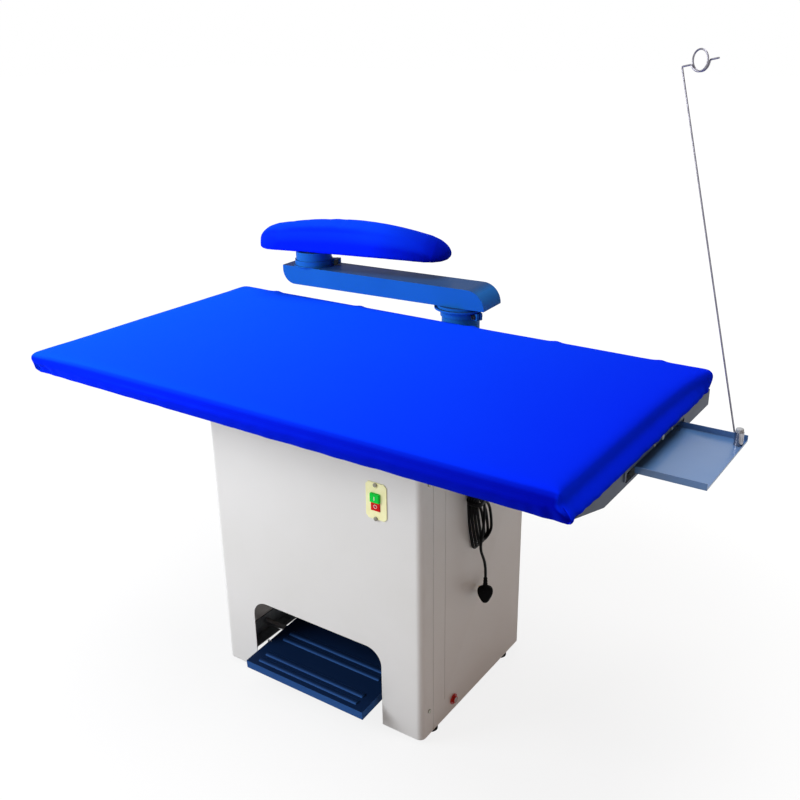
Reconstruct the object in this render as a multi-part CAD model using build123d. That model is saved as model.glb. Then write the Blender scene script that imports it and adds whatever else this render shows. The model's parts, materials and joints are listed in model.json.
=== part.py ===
from build123d import *
import math
import os

os.makedirs("parts", exist_ok=True)

# Vacuum ironing table: a padded suction board on a sheet-metal cabinet with a foot pedal,
# a swivelling sleeve buck on a post, a sliding iron tray with a balance rod, and a mains cord.
# Origin on the floor under the cabinet's centre, +X along the board to the tray, +Y to the back, +Z up.
# All sizes in millimetres.

# Work board
board_len = 1500.0
board_wid = 800.0
board_thk = 48.0
board_off_x = -11.0
board_off_y = -15.0
board_corner_r = 24.0
board_edge_r = 21.0
cover_thk = 2.0
hem_wid = 60.0
soft_gap = 0.3
edge_pad = 30.0
deck_sheet = 2.0
deck_flange = 60.0
deck_crown_pad = 14.3
deck_hole_d = 12.0
deck_hole_pitch = 100.0
deck_bolt_inset = 45.0
deck_bolt_r = 4.0
bolt_free = 0.2

# Suction tub under the board
tub_depth = 40.0
tub_sheet = 2.0
tub_end_step = 4.0
tub_front_step = 25.0
tub_rear_step = 5.0
tub_flange = 90.0
tub_outlet = 176.0
slot_front_y = -145.0
slot_rear_y = 200.0
slot_low = 7.0
slot_high = 29.0
bay_depth = 233.0
bay_sheet = 1.5
slot_bolt_y = (7.0, 58.0, 114.0)
slot_bolt_r = (3.0, 6.0, 3.0)
slot_bolt_drop = 6.0
latch_wid = 8.0
latch_len = 24.0
latch_thk = 3.0

# Iron tray with its balance rod
tray_len = 280.0
tray_wid = 280.0
tray_front_y = -90.0
tray_out = 141.0
tray_sheet = 1.5
tray_rail_h = 15.0
tray_lip_h = 4.0
tray_rise = 8.0
runner_wid = 20.0
guide_h = 12.0
sleeve_inset = 12.0
sleeve_rear = 30.0
sleeve_r = 10.0
sleeve_len = 30.0
pin_r = 6.0
pin_fit = 0.05
pin_foot_r = 9.0
pin_foot_h = 4.0
knob_r = 8.5
knob_h = 8.0
rod_r = 2.0
rod_azimuth = -25.5
rod_hole_drop = 6.0
rod_foot_out = 13.5
rod_top_out = 264.0
rod_top_rise = 733.0
rod_bend = 3.2
ring_r = 21.5
ring_stub = 26.0
ring_tail = 20.0
ring_pitch = 5.4
ring_start_deg = 205.0

# Cabinet
foot_r = 18.0
foot_h = 12.0
foot_hole_r = 4.5
foot_inset = 67.0
cab_wid = 636.0
cab_dep = 490.0
cab_h = 762.0
panel_sheet = 1.5
panel_corner_r = 16.0
panel_return = 50.0
seam_gap = 1.2
crease_front_margin = 103.0
crease_low_z = 70.0
crease_drop = 174.0
crease_rear_margin = 15.0
crease_rise = 6.0
crease_line_wid = 1.6
crease_line_deep = 0.6
door_left_x = -211.0
door_right_x = 201.0
door_top_z = 229.0
door_corner_r = 45.0
angle_leg = 40.0
angle_up = 48.0
angle_thk = 3.0
top_leg = 30.0
louvre_len = 110.0
louvre_wid = 6.0
louvre_pitch = 18.0
louvre_count = 7
louvre_low_z = 290.0
screw_head_r = 5.0
screw_head_h = 2.5
screw_shank_r = 2.0
screw_shank_len = 9.0
screw_inset = 32.0
screw_low_z = 83.0
screw_drop = 79.0

# Pedal and its linkage
pivot_y = -100.0
pivot_z = 43.7
axle_r = 8.0
axle_fit = 0.05
cap_r = 14.0
cap_h = 8.0
pedal_left_x = -193.0
pedal_right_x = 184.0
pedal_tilt = 4.0
pedal_out = 58.0
pedal_rear = 37.0
pedal_height = 52.0
pedal_sheet = 2.5
pedal_lip = 23.0
pedal_tube_r = 14.0
bush_r = 11.0
bush_len = 20.0
pedal_rib_side = 30.0
pedal_rib_y = (-180.0, -153.0, -83.0, -56.0)
pedal_rib_r = 12.0
pedal_rib_rise = 4.0
pedal_travel = 12.0
lever_r = 84.1
lever_thk = 5.0
lever_wid = 18.0
link_pin_r = 3.0
link_slot = 5.2
link_free = 0.4
link_wall = 4.0
link_neck = 13.0
pull_rod_r = 5.0
pull_rod_x = -175.0
pull_rod_back = 83.5
spring_coil_r = 13.0
spring_wire_r = 1.5
spring_turns = 5
spring_pitch = 3.6

# Suction line and fan
duct_side = 180.0
duct_sheet = 1.5
duct_flange = 20.0
fan_drop = 346.0
fan_h = 92.0
fan_r = 150.0
fan_sheet = 2.0
fan_inlet_r = 80.0
fan_outlet_wid = 100.0
fan_outlet_h = 76.0
shelf_thk = 3.0
shelf_dep = 400.0
shelf_lip = 30.0
shaft_r = 7.0
shaft_fit = 0.05
shaft_hole_r = 12.0
wheel_r = 125.0
wheel_eye_r = 85.0
wheel_hub_r = 22.0
wheel_lift = 12.0
wheel_h = 62.0
wheel_sheet = 2.5
blade_count = 9
motor_r = 75.0
motor_h = 130.0
motor_wall = 12.0
motor_flange_r = 95.0
motor_flange_thk = 6.0
rotor_gap = 2.0
rotor_h = 76.0
damper_drop = 74.0
spindle_r = 5.0
spindle_fit = 0.05
damper_gap = 3.0
damper_thk = 2.0
crank_r = 17.6
branch_wid = 124.0
branch_drop = 209.0
branch_h = 120.0
branch_past_post = 60.0
branch_sheet = 2.0

# Post, arm and neck
post_back = 65.0
pipe_r = 54.0
pipe_wall = 3.0
pipe_fit = 0.05
pipe_free = 0.3
post_flange = 140.0
post_flange_thk = 6.0
post_rim_r = 75.0
post_rim_thk = 5.0
post_rise = 31.0
clamp_wall = 4.0
clamp_h = 20.0
clamp_drop = 0.5
clamp_azimuth = -20.0
neck_clamp_azimuth = 30.0
lug_len = 24.0
lug_thk = 8.0
lug_gap = 4.0
lug_bolt_r = 4.0
lug_head_r = 7.0
bracket_h = 28.0
bracket_thk = 6.0
bracket_wid = 172.0
arm_clear = 7.0
arm_h = 55.0
arm_wid = 107.0
arm_wall = 3.0
arm_azimuth = 183.1
arm_reach = 503.7
arm_past_neck = 79.0
arm_past_post = 98.0
arm_round_neck = 42.0
arm_round_post = 54.0
collar_r = 68.0
spigot_depth = 48.0
neck_h = 43.0
neck_flange_r = 61.0
neck_flange_thk = 3.0
neck_clamp_h = 15.0
neck_clamp_wall = 3.0
neck_spigot_r = 48.0
neck_tail = 25.0
neck_ring_h = 6.0
neck_ring_out = 1.8
neck_plate = 3.0

# Sleeve buck
buck_azimuth = 14.0
buck_right = 436.0
buck_left = 179.0
buck_half_right = 76.0
buck_half_left = 46.0
buck_h_left = 61.0
buck_h_right = 47.0
buck_crown = 44.0
buck_round = 60.0
buck_hem = 12.0
buck_base_inset = 16.0
buck_base_thk = 3.0
buck_boss_r = 36.0
buck_hole_r = 24.0
buck_bolt_pcd_r = 30.0
buck_bolt_r = 2.5

# Switch
switch_x = 198.5
switch_drop = 138.5
switch_wid = 57.0
switch_h = 92.0
switch_plate_thk = 2.0
switch_cut = 7.0
button_x = 197.0
button_wid = 25.0
button_h = 22.0
button_free = 0.4
button_out = 6.0
button_travel = 4.0
button_deep = 20.0
green_low = -2.3
switch_screw_rise = (-44.5, 40.5)
switch_box_dep = 38.0
switch_box_wall = 2.0

# Cord
cord_d = 7.0
inlet_y = -48.0
inlet_drop = 39.0
inlet_h = 34.0
inlet_wid = 24.0
hook_r = 4.0
hook_gap = 0.4
hook_tip = 16.0
hank_loops = 4
hank_clear = 8.0
hank_step = 7.6
hank_top_y = -66.0
hank_drop = 98.0
hank_lean = 14.5
hank_len = 238.0
hank_waist = 11.5
hank_waist_at = 86.0
hank_belly = 21.0
hank_belly_at = 172.0
hank_cross_at = 126.0
hank_end_at = 213.16
hank_end_across = -34.47
hank_end_rake = 30.2
spring_hook_y = -111.0
hank_fan = 7.0
plug_wid = 40.0
plug_thk = 24.0
plug_h = 46.0
plug_toe = 16.0
plug_azimuth = -56.0
relief_len = 26.0
plug_pin_len = 18.0
plug_pin_thk = 4.0
plug_pin_wid = 6.3
plug_pin_out = 7.9
plug_earth_h = 8.0

# Places worked out from the sizes above
cab_top = foot_h + cab_h
tub_top = cab_top + tub_depth
board_top = tub_top + board_thk
half_wid = cab_wid / 2
half_dep = cab_dep / 2
board_left = board_off_x - board_len / 2
board_right = board_off_x + board_len / 2
board_front = board_off_y - board_wid / 2
board_rear = board_off_y + board_wid / 2
tub_left = board_left + tub_end_step
tub_right = board_right - tub_end_step
tub_front = board_front + tub_front_step
tub_rear = board_rear - tub_rear_step
deck_low = tub_top + cover_thk + soft_gap
deck_top = board_top - cover_thk - soft_gap - deck_crown_pad
tray_floor_z = cab_top + tray_rise
tray_rear_y = tray_front_y + tray_wid
tray_out_x = board_right + tray_out
tray_in_x = tray_out_x - tray_len
sleeve_x = tray_out_x - sleeve_inset
sleeve_y = tray_rear_y - sleeve_rear
rod_dir = Vector(math.cos(math.radians(rod_azimuth)), math.sin(math.radians(rod_azimuth)), 0)
rod_side = Vector(-rod_dir.Y, rod_dir.X, 0)
sleeve_low = tray_floor_z + tray_sheet + soft_gap
sleeve_top = sleeve_low + sleeve_len
rod_hole_z = sleeve_top - rod_hole_drop
foot_y = half_dep - foot_inset
crease_y = -half_dep + crease_front_margin
crease_high_z = cab_top - crease_drop
screw_side_y = -half_dep + screw_inset
screw_high_z = cab_top - screw_drop
pedal_front = half_dep + pedal_out + pivot_y
pull_rod_y = pivot_y + pull_rod_back
fan_floor_z = cab_top - fan_drop
damper_z = cab_top - damper_drop
branch_low_z = cab_top - branch_drop
post_y = board_rear + post_back
branch_end_y = post_y + branch_past_post
post_top_z = board_top + post_rise
switch_z = cab_top - switch_drop
green_low_z = switch_z + green_low
switch_screw_z = [switch_z + rise for rise in switch_screw_rise]
inlet_z = cab_top - inlet_drop
hank_start_x = half_wid + hank_clear
hank_top_z = cab_top - hank_drop
duct_top = cab_top
duct_low = fan_floor_z + fan_h
branch_top = branch_low_z + branch_h
arm_low = post_top_z + arm_clear
arm_top = arm_low + arm_h
neck_top = arm_top + neck_h
arm_turn = math.radians(arm_azimuth)
neck_x = arm_reach * math.cos(arm_turn)
neck_y = post_y + arm_reach * math.sin(arm_turn)
pipe_bore_r = pipe_r - pipe_wall
cord_r = cord_d / 2


def block(x0, x1, y0, y1, z0, z1):
    return Pos((x0 + x1) / 2, (y0 + y1) / 2, (z0 + z1) / 2) * Box(x1 - x0, y1 - y0, z1 - z0)


def post(x, y, z0, z1, r):
    return Pos(x, y, (z0 + z1) / 2) * Cylinder(r, z1 - z0)


def bar_x(x0, x1, y, z, r):
    return Pos((x0 + x1) / 2, y, z) * Rot(0, 90, 0) * Cylinder(r, abs(x1 - x0))


def bar_y(x, y0, y1, z, r):
    return Pos(x, (y0 + y1) / 2, z) * Rot(90, 0, 0) * Cylinder(r, abs(y1 - y0))


def drill_z(places, z0, z1, r):
    """Cutters through a flat sheet between z0 and z1, one at each x, y place."""
    return Part() + [post(x, y, z0 - 1, z1 + 1, r) for x, y in places]


def drill_y(places, y0, y1, r):
    """Cutters through an upright sheet between y0 and y1, one at each x, z place."""
    return Part() + [bar_y(x, y0 - 1, y1 + 1, z, r) for x, z in places]


def on_circle(x, y, r, angles):
    return [(x + r * math.cos(math.radians(a)), y + r * math.sin(math.radians(a))) for a in angles]


def pipe(x, y, z0, z1, r_out, r_in):
    return post(x, y, z0, z1, r_out) - post(x, y, z0 - 1, z1 + 1, r_in)


def group(pieces):
    return Part() + pieces


def unit(v):
    return v * (1 / v.length)


def biarc(p0, t0, p1, t1):
    """Two tangent arcs, or one straight run, from p0 along t0 to p1 along t1."""
    v = p1 - p0
    if t0.cross(v).length < 1e-6 * v.length and t1.cross(v).length < 1e-6 * v.length:
        return [Edge.make_line(p0, p1)]
    t = t0 + t1
    vt = v.dot(t)
    k = 4 - t.dot(t)
    if k < 1e-9:
        d = v.dot(v) / (4 * v.dot(t1))
    else:
        d = (math.sqrt(vt * vt + k * v.dot(v)) - vt) / k
    j0 = p0 + t0 * d
    j1 = p1 - t1 * d
    m = (j0 + j1) * 0.5
    tm = unit(j1 - j0)
    return [Edge.make_tangent_arc(p0, t0, m), Edge.make_tangent_arc(m, tm, p1)]


def wire_through(stations):
    """One smooth wire through stations, each a point and the direction of travel there."""
    edges = []
    for (p0, t0), (p1, t1) in zip(stations, stations[1:]):
        edges += biarc(p0, t0, p1, t1)
    return Wire(edges)


def tube_along(path, r):
    section = Plane(origin=path @ 0, z_dir=path % 0) * Circle(r)
    return sweep(section, path=path)


def least_gap(path, diameter, count=500):
    """Smallest clear distance between parts of one tube that are not neighbours along it."""
    step = path.length / count
    skip = int(3 * diameter / step) + 1
    pts = [path @ (i / count) for i in range(count + 1)]
    best = path.length
    for i in range(len(pts)):
        for j in range(i + skip, len(pts)):
            best = min(best, (pts[i] - pts[j]).length)
    return best - diameter


def screw_y(x, z, y_face, out):
    """A pan-head screw that holds a sheet whose outer face is at y_face; out is -1 or +1."""
    head = bar_y(x, y_face, y_face + out * screw_head_h, z, screw_head_r)
    return head + bar_y(x, y_face, y_face - out * screw_shank_len, z, screw_shank_r)


def screw_x(y, z, x_face, out):
    head = bar_x(x_face, x_face + out * screw_head_h, y, z, screw_head_r)
    return head + bar_x(x_face, x_face - out * screw_shank_len, y, z, screw_shank_r)


# Board

def rounded_slab(inset):
    """The board's full body drawn in by an even inset."""
    z0 = tub_top + inset
    z1 = board_top - inset
    body = block(board_left + inset, board_right - inset, board_front + inset, board_rear - inset, z0, z1)
    body = fillet(body.edges().filter_by(Axis.Z), board_corner_r - inset)
    return fillet(body.faces().filter_by(Axis.Z).edges(), board_edge_r - inset)


def inset_block(inset, z0, z1):
    return block(board_left + inset, board_right - inset, board_front + inset, board_rear - inset, z0, z1)


def deck_bolt_places():
    inset = edge_pad + deck_bolt_inset
    xs = (board_left + inset, board_off_x, board_right - inset)
    ys = (board_front + inset, board_rear - inset)
    places = [(x, y) for x in xs for y in ys]
    return places


def make_board_cover():
    mouth = inset_block(hem_wid, tub_top - 1, tub_top + cover_thk + 1)
    return rounded_slab(0) - rounded_slab(cover_thk) - mouth


def make_foam_pad():
    pocket = inset_block(edge_pad - soft_gap, deck_low - 1, deck_top + soft_gap)
    return rounded_slab(cover_thk + soft_gap) - pocket


def make_perforated_deck():
    pan = inset_block(edge_pad, deck_low, deck_top)
    pan -= inset_block(edge_pad + deck_sheet, deck_low + deck_sheet, deck_top - deck_sheet)
    pan -= inset_block(edge_pad + deck_flange, deck_low - 1, deck_low + deck_sheet + 1)
    nx = int((board_len - 2 * edge_pad - deck_hole_pitch) / deck_hole_pitch)
    ny = int((board_wid - 2 * edge_pad - deck_hole_pitch) / deck_hole_pitch)
    grid = GridLocations(deck_hole_pitch, deck_hole_pitch, nx, ny)
    centre = Pos(board_off_x, board_off_y, deck_top)
    pan -= [centre * place * Cylinder(deck_hole_d / 2, 4 * deck_sheet) for place in grid]
    hole = deck_bolt_r + bolt_free
    return pan - drill_z(deck_bolt_places(), deck_low, deck_low + deck_sheet, hole)


def make_deck_bolts():
    bolts = []
    for x, y in deck_bolt_places():
        head = post(x, y, tub_top - tub_sheet - 4, tub_top - tub_sheet, 7)
        shank = post(x, y, tub_top - tub_sheet, deck_low + deck_sheet, deck_bolt_r)
        washer = post(x, y, tub_top, deck_low, 9)
        nut = post(x, y, deck_low + deck_sheet, deck_low + deck_sheet + 5, 7)
        bolts.append(head + shank + washer + nut)
    return group(bolts)


def make_suction_tub():
    outline = Polyline(
        (tub_front, tub_top),
        (tub_rear, tub_top),
        (tub_rear, cab_top),
        (-half_dep - 3, cab_top),
        close=True,
    )
    profile = make_face(outline)
    start = Plane(origin=(tub_left, 0, 0), x_dir=(0, 1, 0), z_dir=(1, 0, 0))
    outside = extrude(start * profile, tub_right - tub_left)
    hollow = offset(profile, amount=-tub_sheet, kind=Kind.INTERSECTION)
    start = Plane(origin=(tub_left + tub_sheet, 0, 0), x_dir=(0, 1, 0), z_dir=(1, 0, 0))
    inside = extrude(start * hollow, tub_right - tub_left - 2 * tub_sheet)
    tub = outside - inside
    tub -= block(
        tub_left + tub_flange, tub_right - tub_flange,
        tub_front + tub_flange, tub_rear - tub_flange,
        tub_top - tub_sheet - 1, tub_top + 1,
    )
    half = tub_outlet / 2
    tub -= block(-half, half, -half, half, cab_top - 1, cab_top + tub_sheet + 1)
    tub -= block(
        tub_right - tub_sheet - 1, tub_right + 1,
        slot_front_y, slot_rear_y,
        cab_top + slot_low, cab_top + slot_high,
    )
    tub -= drill_z(deck_bolt_places(), tub_top - tub_sheet, tub_top, deck_bolt_r + bolt_free)
    latch_y = slot_front_y - latch_wid / 2
    tub += block(tub_right, tub_right + latch_thk, latch_y - latch_wid, latch_y, tub_top - latch_len, tub_top)
    return tub


def make_tray_bay():
    x1 = tub_right - tub_sheet
    x0 = x1 - bay_depth
    z0 = cab_top + tub_sheet
    z1 = cab_top + slot_high + 2 * bay_sheet
    bay = block(x0, x1, slot_front_y - 2 * bay_sheet, slot_rear_y + 2 * bay_sheet, z0, z1)
    bay -= block(
        x0 + bay_sheet, x1 + 1,
        slot_front_y - bay_sheet, slot_rear_y + bay_sheet,
        z0 + bay_sheet, z1 - bay_sheet,
    )
    for y_low, y_high, y_guide in (
        (tray_front_y + 1, tray_front_y + 1 + runner_wid, tray_front_y - bay_sheet - 1),
        (tray_rear_y - 1 - runner_wid, tray_rear_y - 1, tray_rear_y + 1),
    ):
        bay += block(x0 + bay_sheet, x1, y_low, y_high, z0 + bay_sheet, tray_floor_z - soft_gap)
        bay += block(x0 + bay_sheet, x1, y_guide, y_guide + bay_sheet, z0 + bay_sheet, tray_floor_z + guide_h)
    return bay


def make_slot_bolts():
    z = tub_top - slot_bolt_drop
    bolts = []
    for y, r in zip(slot_bolt_y, slot_bolt_r):
        bolts.append(bar_x(tub_right, tub_right + 2.5, y, z, r))
    return group(bolts)


# Iron tray

def make_iron_tray():
    z0 = tray_floor_z
    tray = block(tray_in_x, tray_out_x, tray_front_y, tray_rear_y, z0, z0 + tray_sheet)
    tray += block(tray_in_x, tray_out_x, tray_front_y, tray_front_y + tray_sheet, z0, z0 + tray_rail_h)
    tray += block(tray_in_x, tray_out_x, tray_rear_y - tray_sheet, tray_rear_y, z0, z0 + tray_rail_h)
    tray += block(tray_out_x - tray_sheet, tray_out_x, tray_front_y, tray_rear_y, z0, z0 + tray_lip_h)
    tray += block(tray_in_x, tray_in_x + tray_sheet, tray_front_y, tray_rear_y, z0, z0 + tray_rail_h)
    return tray - post(sleeve_x, sleeve_y, z0 - 1, z0 + tray_sheet + 1, pin_r + bolt_free)


def make_sleeve_pin():
    foot = post(sleeve_x, sleeve_y, tray_floor_z - pin_foot_h, tray_floor_z, pin_foot_r)
    return foot + post(sleeve_x, sleeve_y, tray_floor_z, rod_hole_z, pin_r)


def make_rod_sleeve():
    sleeve = post(sleeve_x, sleeve_y, sleeve_low, sleeve_top, sleeve_r)
    sleeve -= post(sleeve_x, sleeve_y, sleeve_low - 1, rod_hole_z + rod_r + 1, pin_r + pin_fit)
    centre = Vector(sleeve_x, sleeve_y, rod_hole_z)
    reach = 2 * sleeve_r
    hole = Plane(origin=centre, z_dir=-rod_dir) * Pos(0, 0, reach / 2) * Cylinder(rod_r + pin_fit, reach)
    return sleeve - hole


def make_sleeve_knob():
    knob = post(sleeve_x, sleeve_y, sleeve_top, sleeve_top + knob_h, knob_r)
    return fillet(knob.faces().sort_by(Axis.Z)[-1].edges(), 3)


def rod_point(out, rise, side=0.0):
    """A place measured outward from the sleeve's axis, up from its cross hole, and to the side."""
    return Vector(sleeve_x, sleeve_y, rod_hole_z) - rod_dir * out + Vector(0, 0, rise) + rod_side * side


def rod_way(out, rise):
    return unit(rod_dir * -out + Vector(0, 0, rise))


def ring_station(centre_out, centre_rise, deg, start_deg):
    turned = (deg - start_deg) / 360
    a = math.radians(deg)
    across = ring_r * math.cos(a)
    up = ring_r * math.sin(a)
    place = rod_point(centre_out - across, centre_rise + up, ring_pitch * turned)
    way = rod_way(up, across)
    lift = ring_pitch / (2 * math.pi * ring_r)
    return place, unit(way + rod_side * lift)


def rod_path():
    lean = rod_way(rod_top_out - rod_foot_out, rod_top_rise)
    stub = rod_way(-math.cos(math.radians(10)), math.sin(math.radians(10)))
    flat = rod_dir * -1
    foot = rod_point(rod_foot_out, 0)
    top = rod_point(rod_top_out, rod_top_rise)
    stations = [(rod_point(pin_r + 0.5, 0), flat), (foot - flat * rod_bend, flat)]
    stations += [(foot + lean * rod_bend, lean), (top - lean * rod_bend, lean)]
    meet = top + stub * ring_stub
    start = math.radians(ring_start_deg)
    centre_out = rod_top_out - ring_stub * math.cos(math.radians(10)) + ring_r * math.cos(start)
    centre_rise = rod_top_rise + ring_stub * math.sin(math.radians(10)) - ring_r * math.sin(start)
    stations += [(top + stub * rod_bend, stub), (meet - stub * rod_bend, stub)]
    first = ring_start_deg + 14
    for deg in (first, 270, 360, 450, 540, 630, 704):
        stations.append(ring_station(centre_out, centre_rise, deg, first))
    last_place, last_way = stations[-1]
    tail_start = rod_point(centre_out - ring_r - rod_bend, centre_rise + 2, ring_pitch * 1.45)
    stations += [(tail_start, stub), (tail_start + stub * ring_tail, stub)]
    return wire_through(stations)


def make_balance_rod():
    path = rod_path()
    print("balance rod length", round(path.length, 1))
    return tube_along(path, rod_r)


# Cabinet

def make_front_panel():
    edge = -half_dep + panel_return
    y0 = -half_dep
    y1 = -half_dep + panel_sheet
    side = half_wid - panel_sheet
    outline = block(-half_wid, half_wid, y0, edge, foot_h, cab_top)
    corners = outline.edges().filter_by(Axis.Z).sort_by(Axis.Y)[:2]
    outside = fillet(corners, panel_corner_r)
    core = block(-side, side, y1, edge + 1, foot_h - 1, cab_top + 1)
    corners = core.edges().filter_by(Axis.Z).sort_by(Axis.Y)[:2]
    panel = outside - fillet(corners, panel_corner_r - panel_sheet)
    doorway = block(door_left_x, door_right_x, y0 - 1, y1 + 1, foot_h - 60, door_top_z)
    upper = doorway.edges().filter_by(Axis.Y).sort_by(Axis.Z)[-2:]
    panel -= fillet(upper, door_corner_r)
    window = button_wid / 2 + 2
    panel -= block(
        button_x - window, button_x + window,
        y0 - 1, y1 + 1,
        green_low_z - button_h - 2, green_low_z + button_h + 2,
    )
    hole = screw_shank_r + bolt_free
    panel -= drill_y([(button_x, z) for z in switch_screw_z], y0, y1, hole)
    for z in (screw_low_z, screw_high_z):
        panel -= bar_x(-half_wid - 1, half_wid + 1, screw_side_y, z, hole)
    return panel


def crease_pyramid(x_base, rise):
    """A very low four-sided pyramid, the cross break pressed into a side panel, pointing to +X."""
    y0 = crease_y
    y1 = half_dep - crease_rear_margin
    z0 = crease_low_z
    z1 = crease_high_z
    corners = [
        Vector(x_base, y0, z0),
        Vector(x_base, y1, z0),
        Vector(x_base, y1, z1),
        Vector(x_base, y0, z1),
    ]
    tip = Vector(x_base + rise, (y0 + y1) / 2, (z0 + z1) / 2)
    faces = [Face(Wire.make_polygon(corners, close=True))]
    for i in range(4):
        faces.append(Face(Wire.make_polygon([corners[i], corners[(i + 1) % 4], tip], close=True)))
    return Solid(Shell(faces))


def make_right_side_panel():
    front = -half_dep + panel_return + seam_gap
    plate = block(half_wid - panel_sheet, half_wid, front, half_dep - panel_sheet - seam_gap, foot_h, cab_top)
    plate += crease_pyramid(half_wid, crease_rise)
    plate -= crease_pyramid(half_wid - panel_sheet, crease_rise)
    line = half_wid - crease_line_deep
    line_top = cab_top - panel_corner_r
    plate -= block(line, half_wid + 1, crease_y - crease_line_wid, crease_y, crease_low_z, line_top)
    plate -= bar_x(half_wid - 5, half_wid + 5, pivot_y, pivot_z, axle_r + bolt_free)
    return plate


def make_left_side_panel():
    return mirror(make_right_side_panel(), about=Plane.YZ)


def make_rear_panel():
    y1 = half_dep
    y0 = half_dep - panel_sheet
    panel = block(-half_wid, half_wid, y0, y1, foot_h, cab_top)
    half = branch_wid / 2 + seam_gap
    panel -= block(-half, half, y0 - 1, y1 + 1, branch_low_z - seam_gap, branch_top + seam_gap)
    for column in (-half_wid / 2, half_wid / 2):
        x0 = column - louvre_len / 2
        for i in range(louvre_count):
            z = louvre_low_z - i * louvre_pitch
            panel -= block(x0, x0 + louvre_len, y0 - 1, y1 + 1, z, z + louvre_wid)
    x1 = fan_r
    x0 = x1 - fan_outlet_wid
    z0 = fan_floor_z + (fan_h - fan_outlet_h) / 2
    bars = 6
    pitch = fan_outlet_h / bars
    for i in range(bars):
        z = z0 + i * pitch
        panel -= block(x0 + 4, x1 - 4, y0 - 1, y1 + 1, z + 3, z + pitch - 2)
    return panel - drill_y(rear_screw_places(), y0, y1, screw_shank_r + bolt_free)


def rear_screw_places():
    xs = (-half_wid + 25, half_wid - 25)
    zs = (foot_h + 30, (foot_h + cab_top) / 2, cab_top - 15)
    return [(x, z) for x in xs for z in zs]


def make_base_frame():
    x1 = half_wid - panel_sheet
    y1 = half_dep - panel_sheet
    y0 = -half_dep + panel_sheet
    z0 = foot_h
    low = z0 + angle_thk
    up = z0 + angle_up
    y_side = y0 + panel_corner_r
    frame = block(-x1, -x1 + angle_leg, y_side, y1, z0, low) + block(-x1, -x1 + angle_thk, y_side, y1, z0, up)
    frame += block(x1 - angle_leg, x1, y_side, y1, z0, low) + block(x1 - angle_thk, x1, y_side, y1, z0, up)
    frame += block(-x1, x1, y1 - angle_leg, y1, z0, low) + block(-x1, x1, y1 - angle_thk, y1, z0, up)
    frame += block(-x1 + panel_corner_r, door_left_x - 6, y0, y0 + angle_leg, z0, low)
    frame += block(door_right_x + 6, x1 - panel_corner_r, y0, y0 + angle_leg, z0, low)
    frame -= bar_x(-x1 - 1, x1 + 1, pivot_y, pivot_z, axle_r + bolt_free)
    frame -= drill_z(foot_places(), z0, low, foot_hole_r)
    return frame - drill_y(rear_screw_places()[::3], y1 - angle_thk, y1, screw_shank_r)


def foot_places():
    x = half_wid - foot_r
    return [(sx * x, sy * foot_y) for sx in (-1, 1) for sy in (-1, 1)]


def make_rubber_feet():
    feet = []
    for x, y in foot_places():
        foot = post(x, y, 0, foot_h, foot_r)
        foot = chamfer(foot.faces().sort_by(Axis.Z)[0].edges(), 1.5)
        feet.append(foot - post(x, y, -1, foot_h + 1, foot_hole_r))
    return group(feet)


def make_top_frame():
    x1 = half_wid - panel_sheet
    y1 = half_dep - panel_sheet
    z1 = cab_top
    inner_x = x1 - top_leg
    inner_y = y1 - top_leg
    frame = block(-x1 + panel_corner_r, x1 - panel_corner_r, -y1, y1, z1 - angle_thk, z1)
    frame += block(-x1, x1, -y1 + panel_corner_r, y1, z1 - angle_thk, z1)
    frame += block(-x1, x1, y1 - angle_thk, y1, z1 - top_leg, z1)
    frame += block(-x1, -x1 + angle_thk, -y1 + panel_corner_r, y1, z1 - top_leg, z1)
    frame += block(x1 - angle_thk, x1, -y1 + panel_corner_r, y1, z1 - top_leg, z1)
    frame -= block(-inner_x, inner_x, -inner_y, inner_y, z1 - angle_thk - 1, z1 + 1)
    return frame - drill_y(rear_screw_places(), y1 - angle_thk, y1, screw_shank_r)


def make_panel_screws():
    screws = []
    for z in (screw_low_z, screw_high_z):
        screws.append(screw_x(screw_side_y, z, half_wid, 1))
        screws.append(screw_x(screw_side_y, z, -half_wid, -1))
    for x, z in rear_screw_places():
        screws.append(screw_y(x, z, half_dep, 1))
    for z in switch_screw_z:
        screws.append(screw_y(button_x, z, -half_dep - switch_plate_thk, -1))
    return group(screws)


# Pedal

def at_pivot(shape, degrees):
    return Pos(0, pivot_y, pivot_z) * Rot(degrees, 0, 0) * shape


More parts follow.
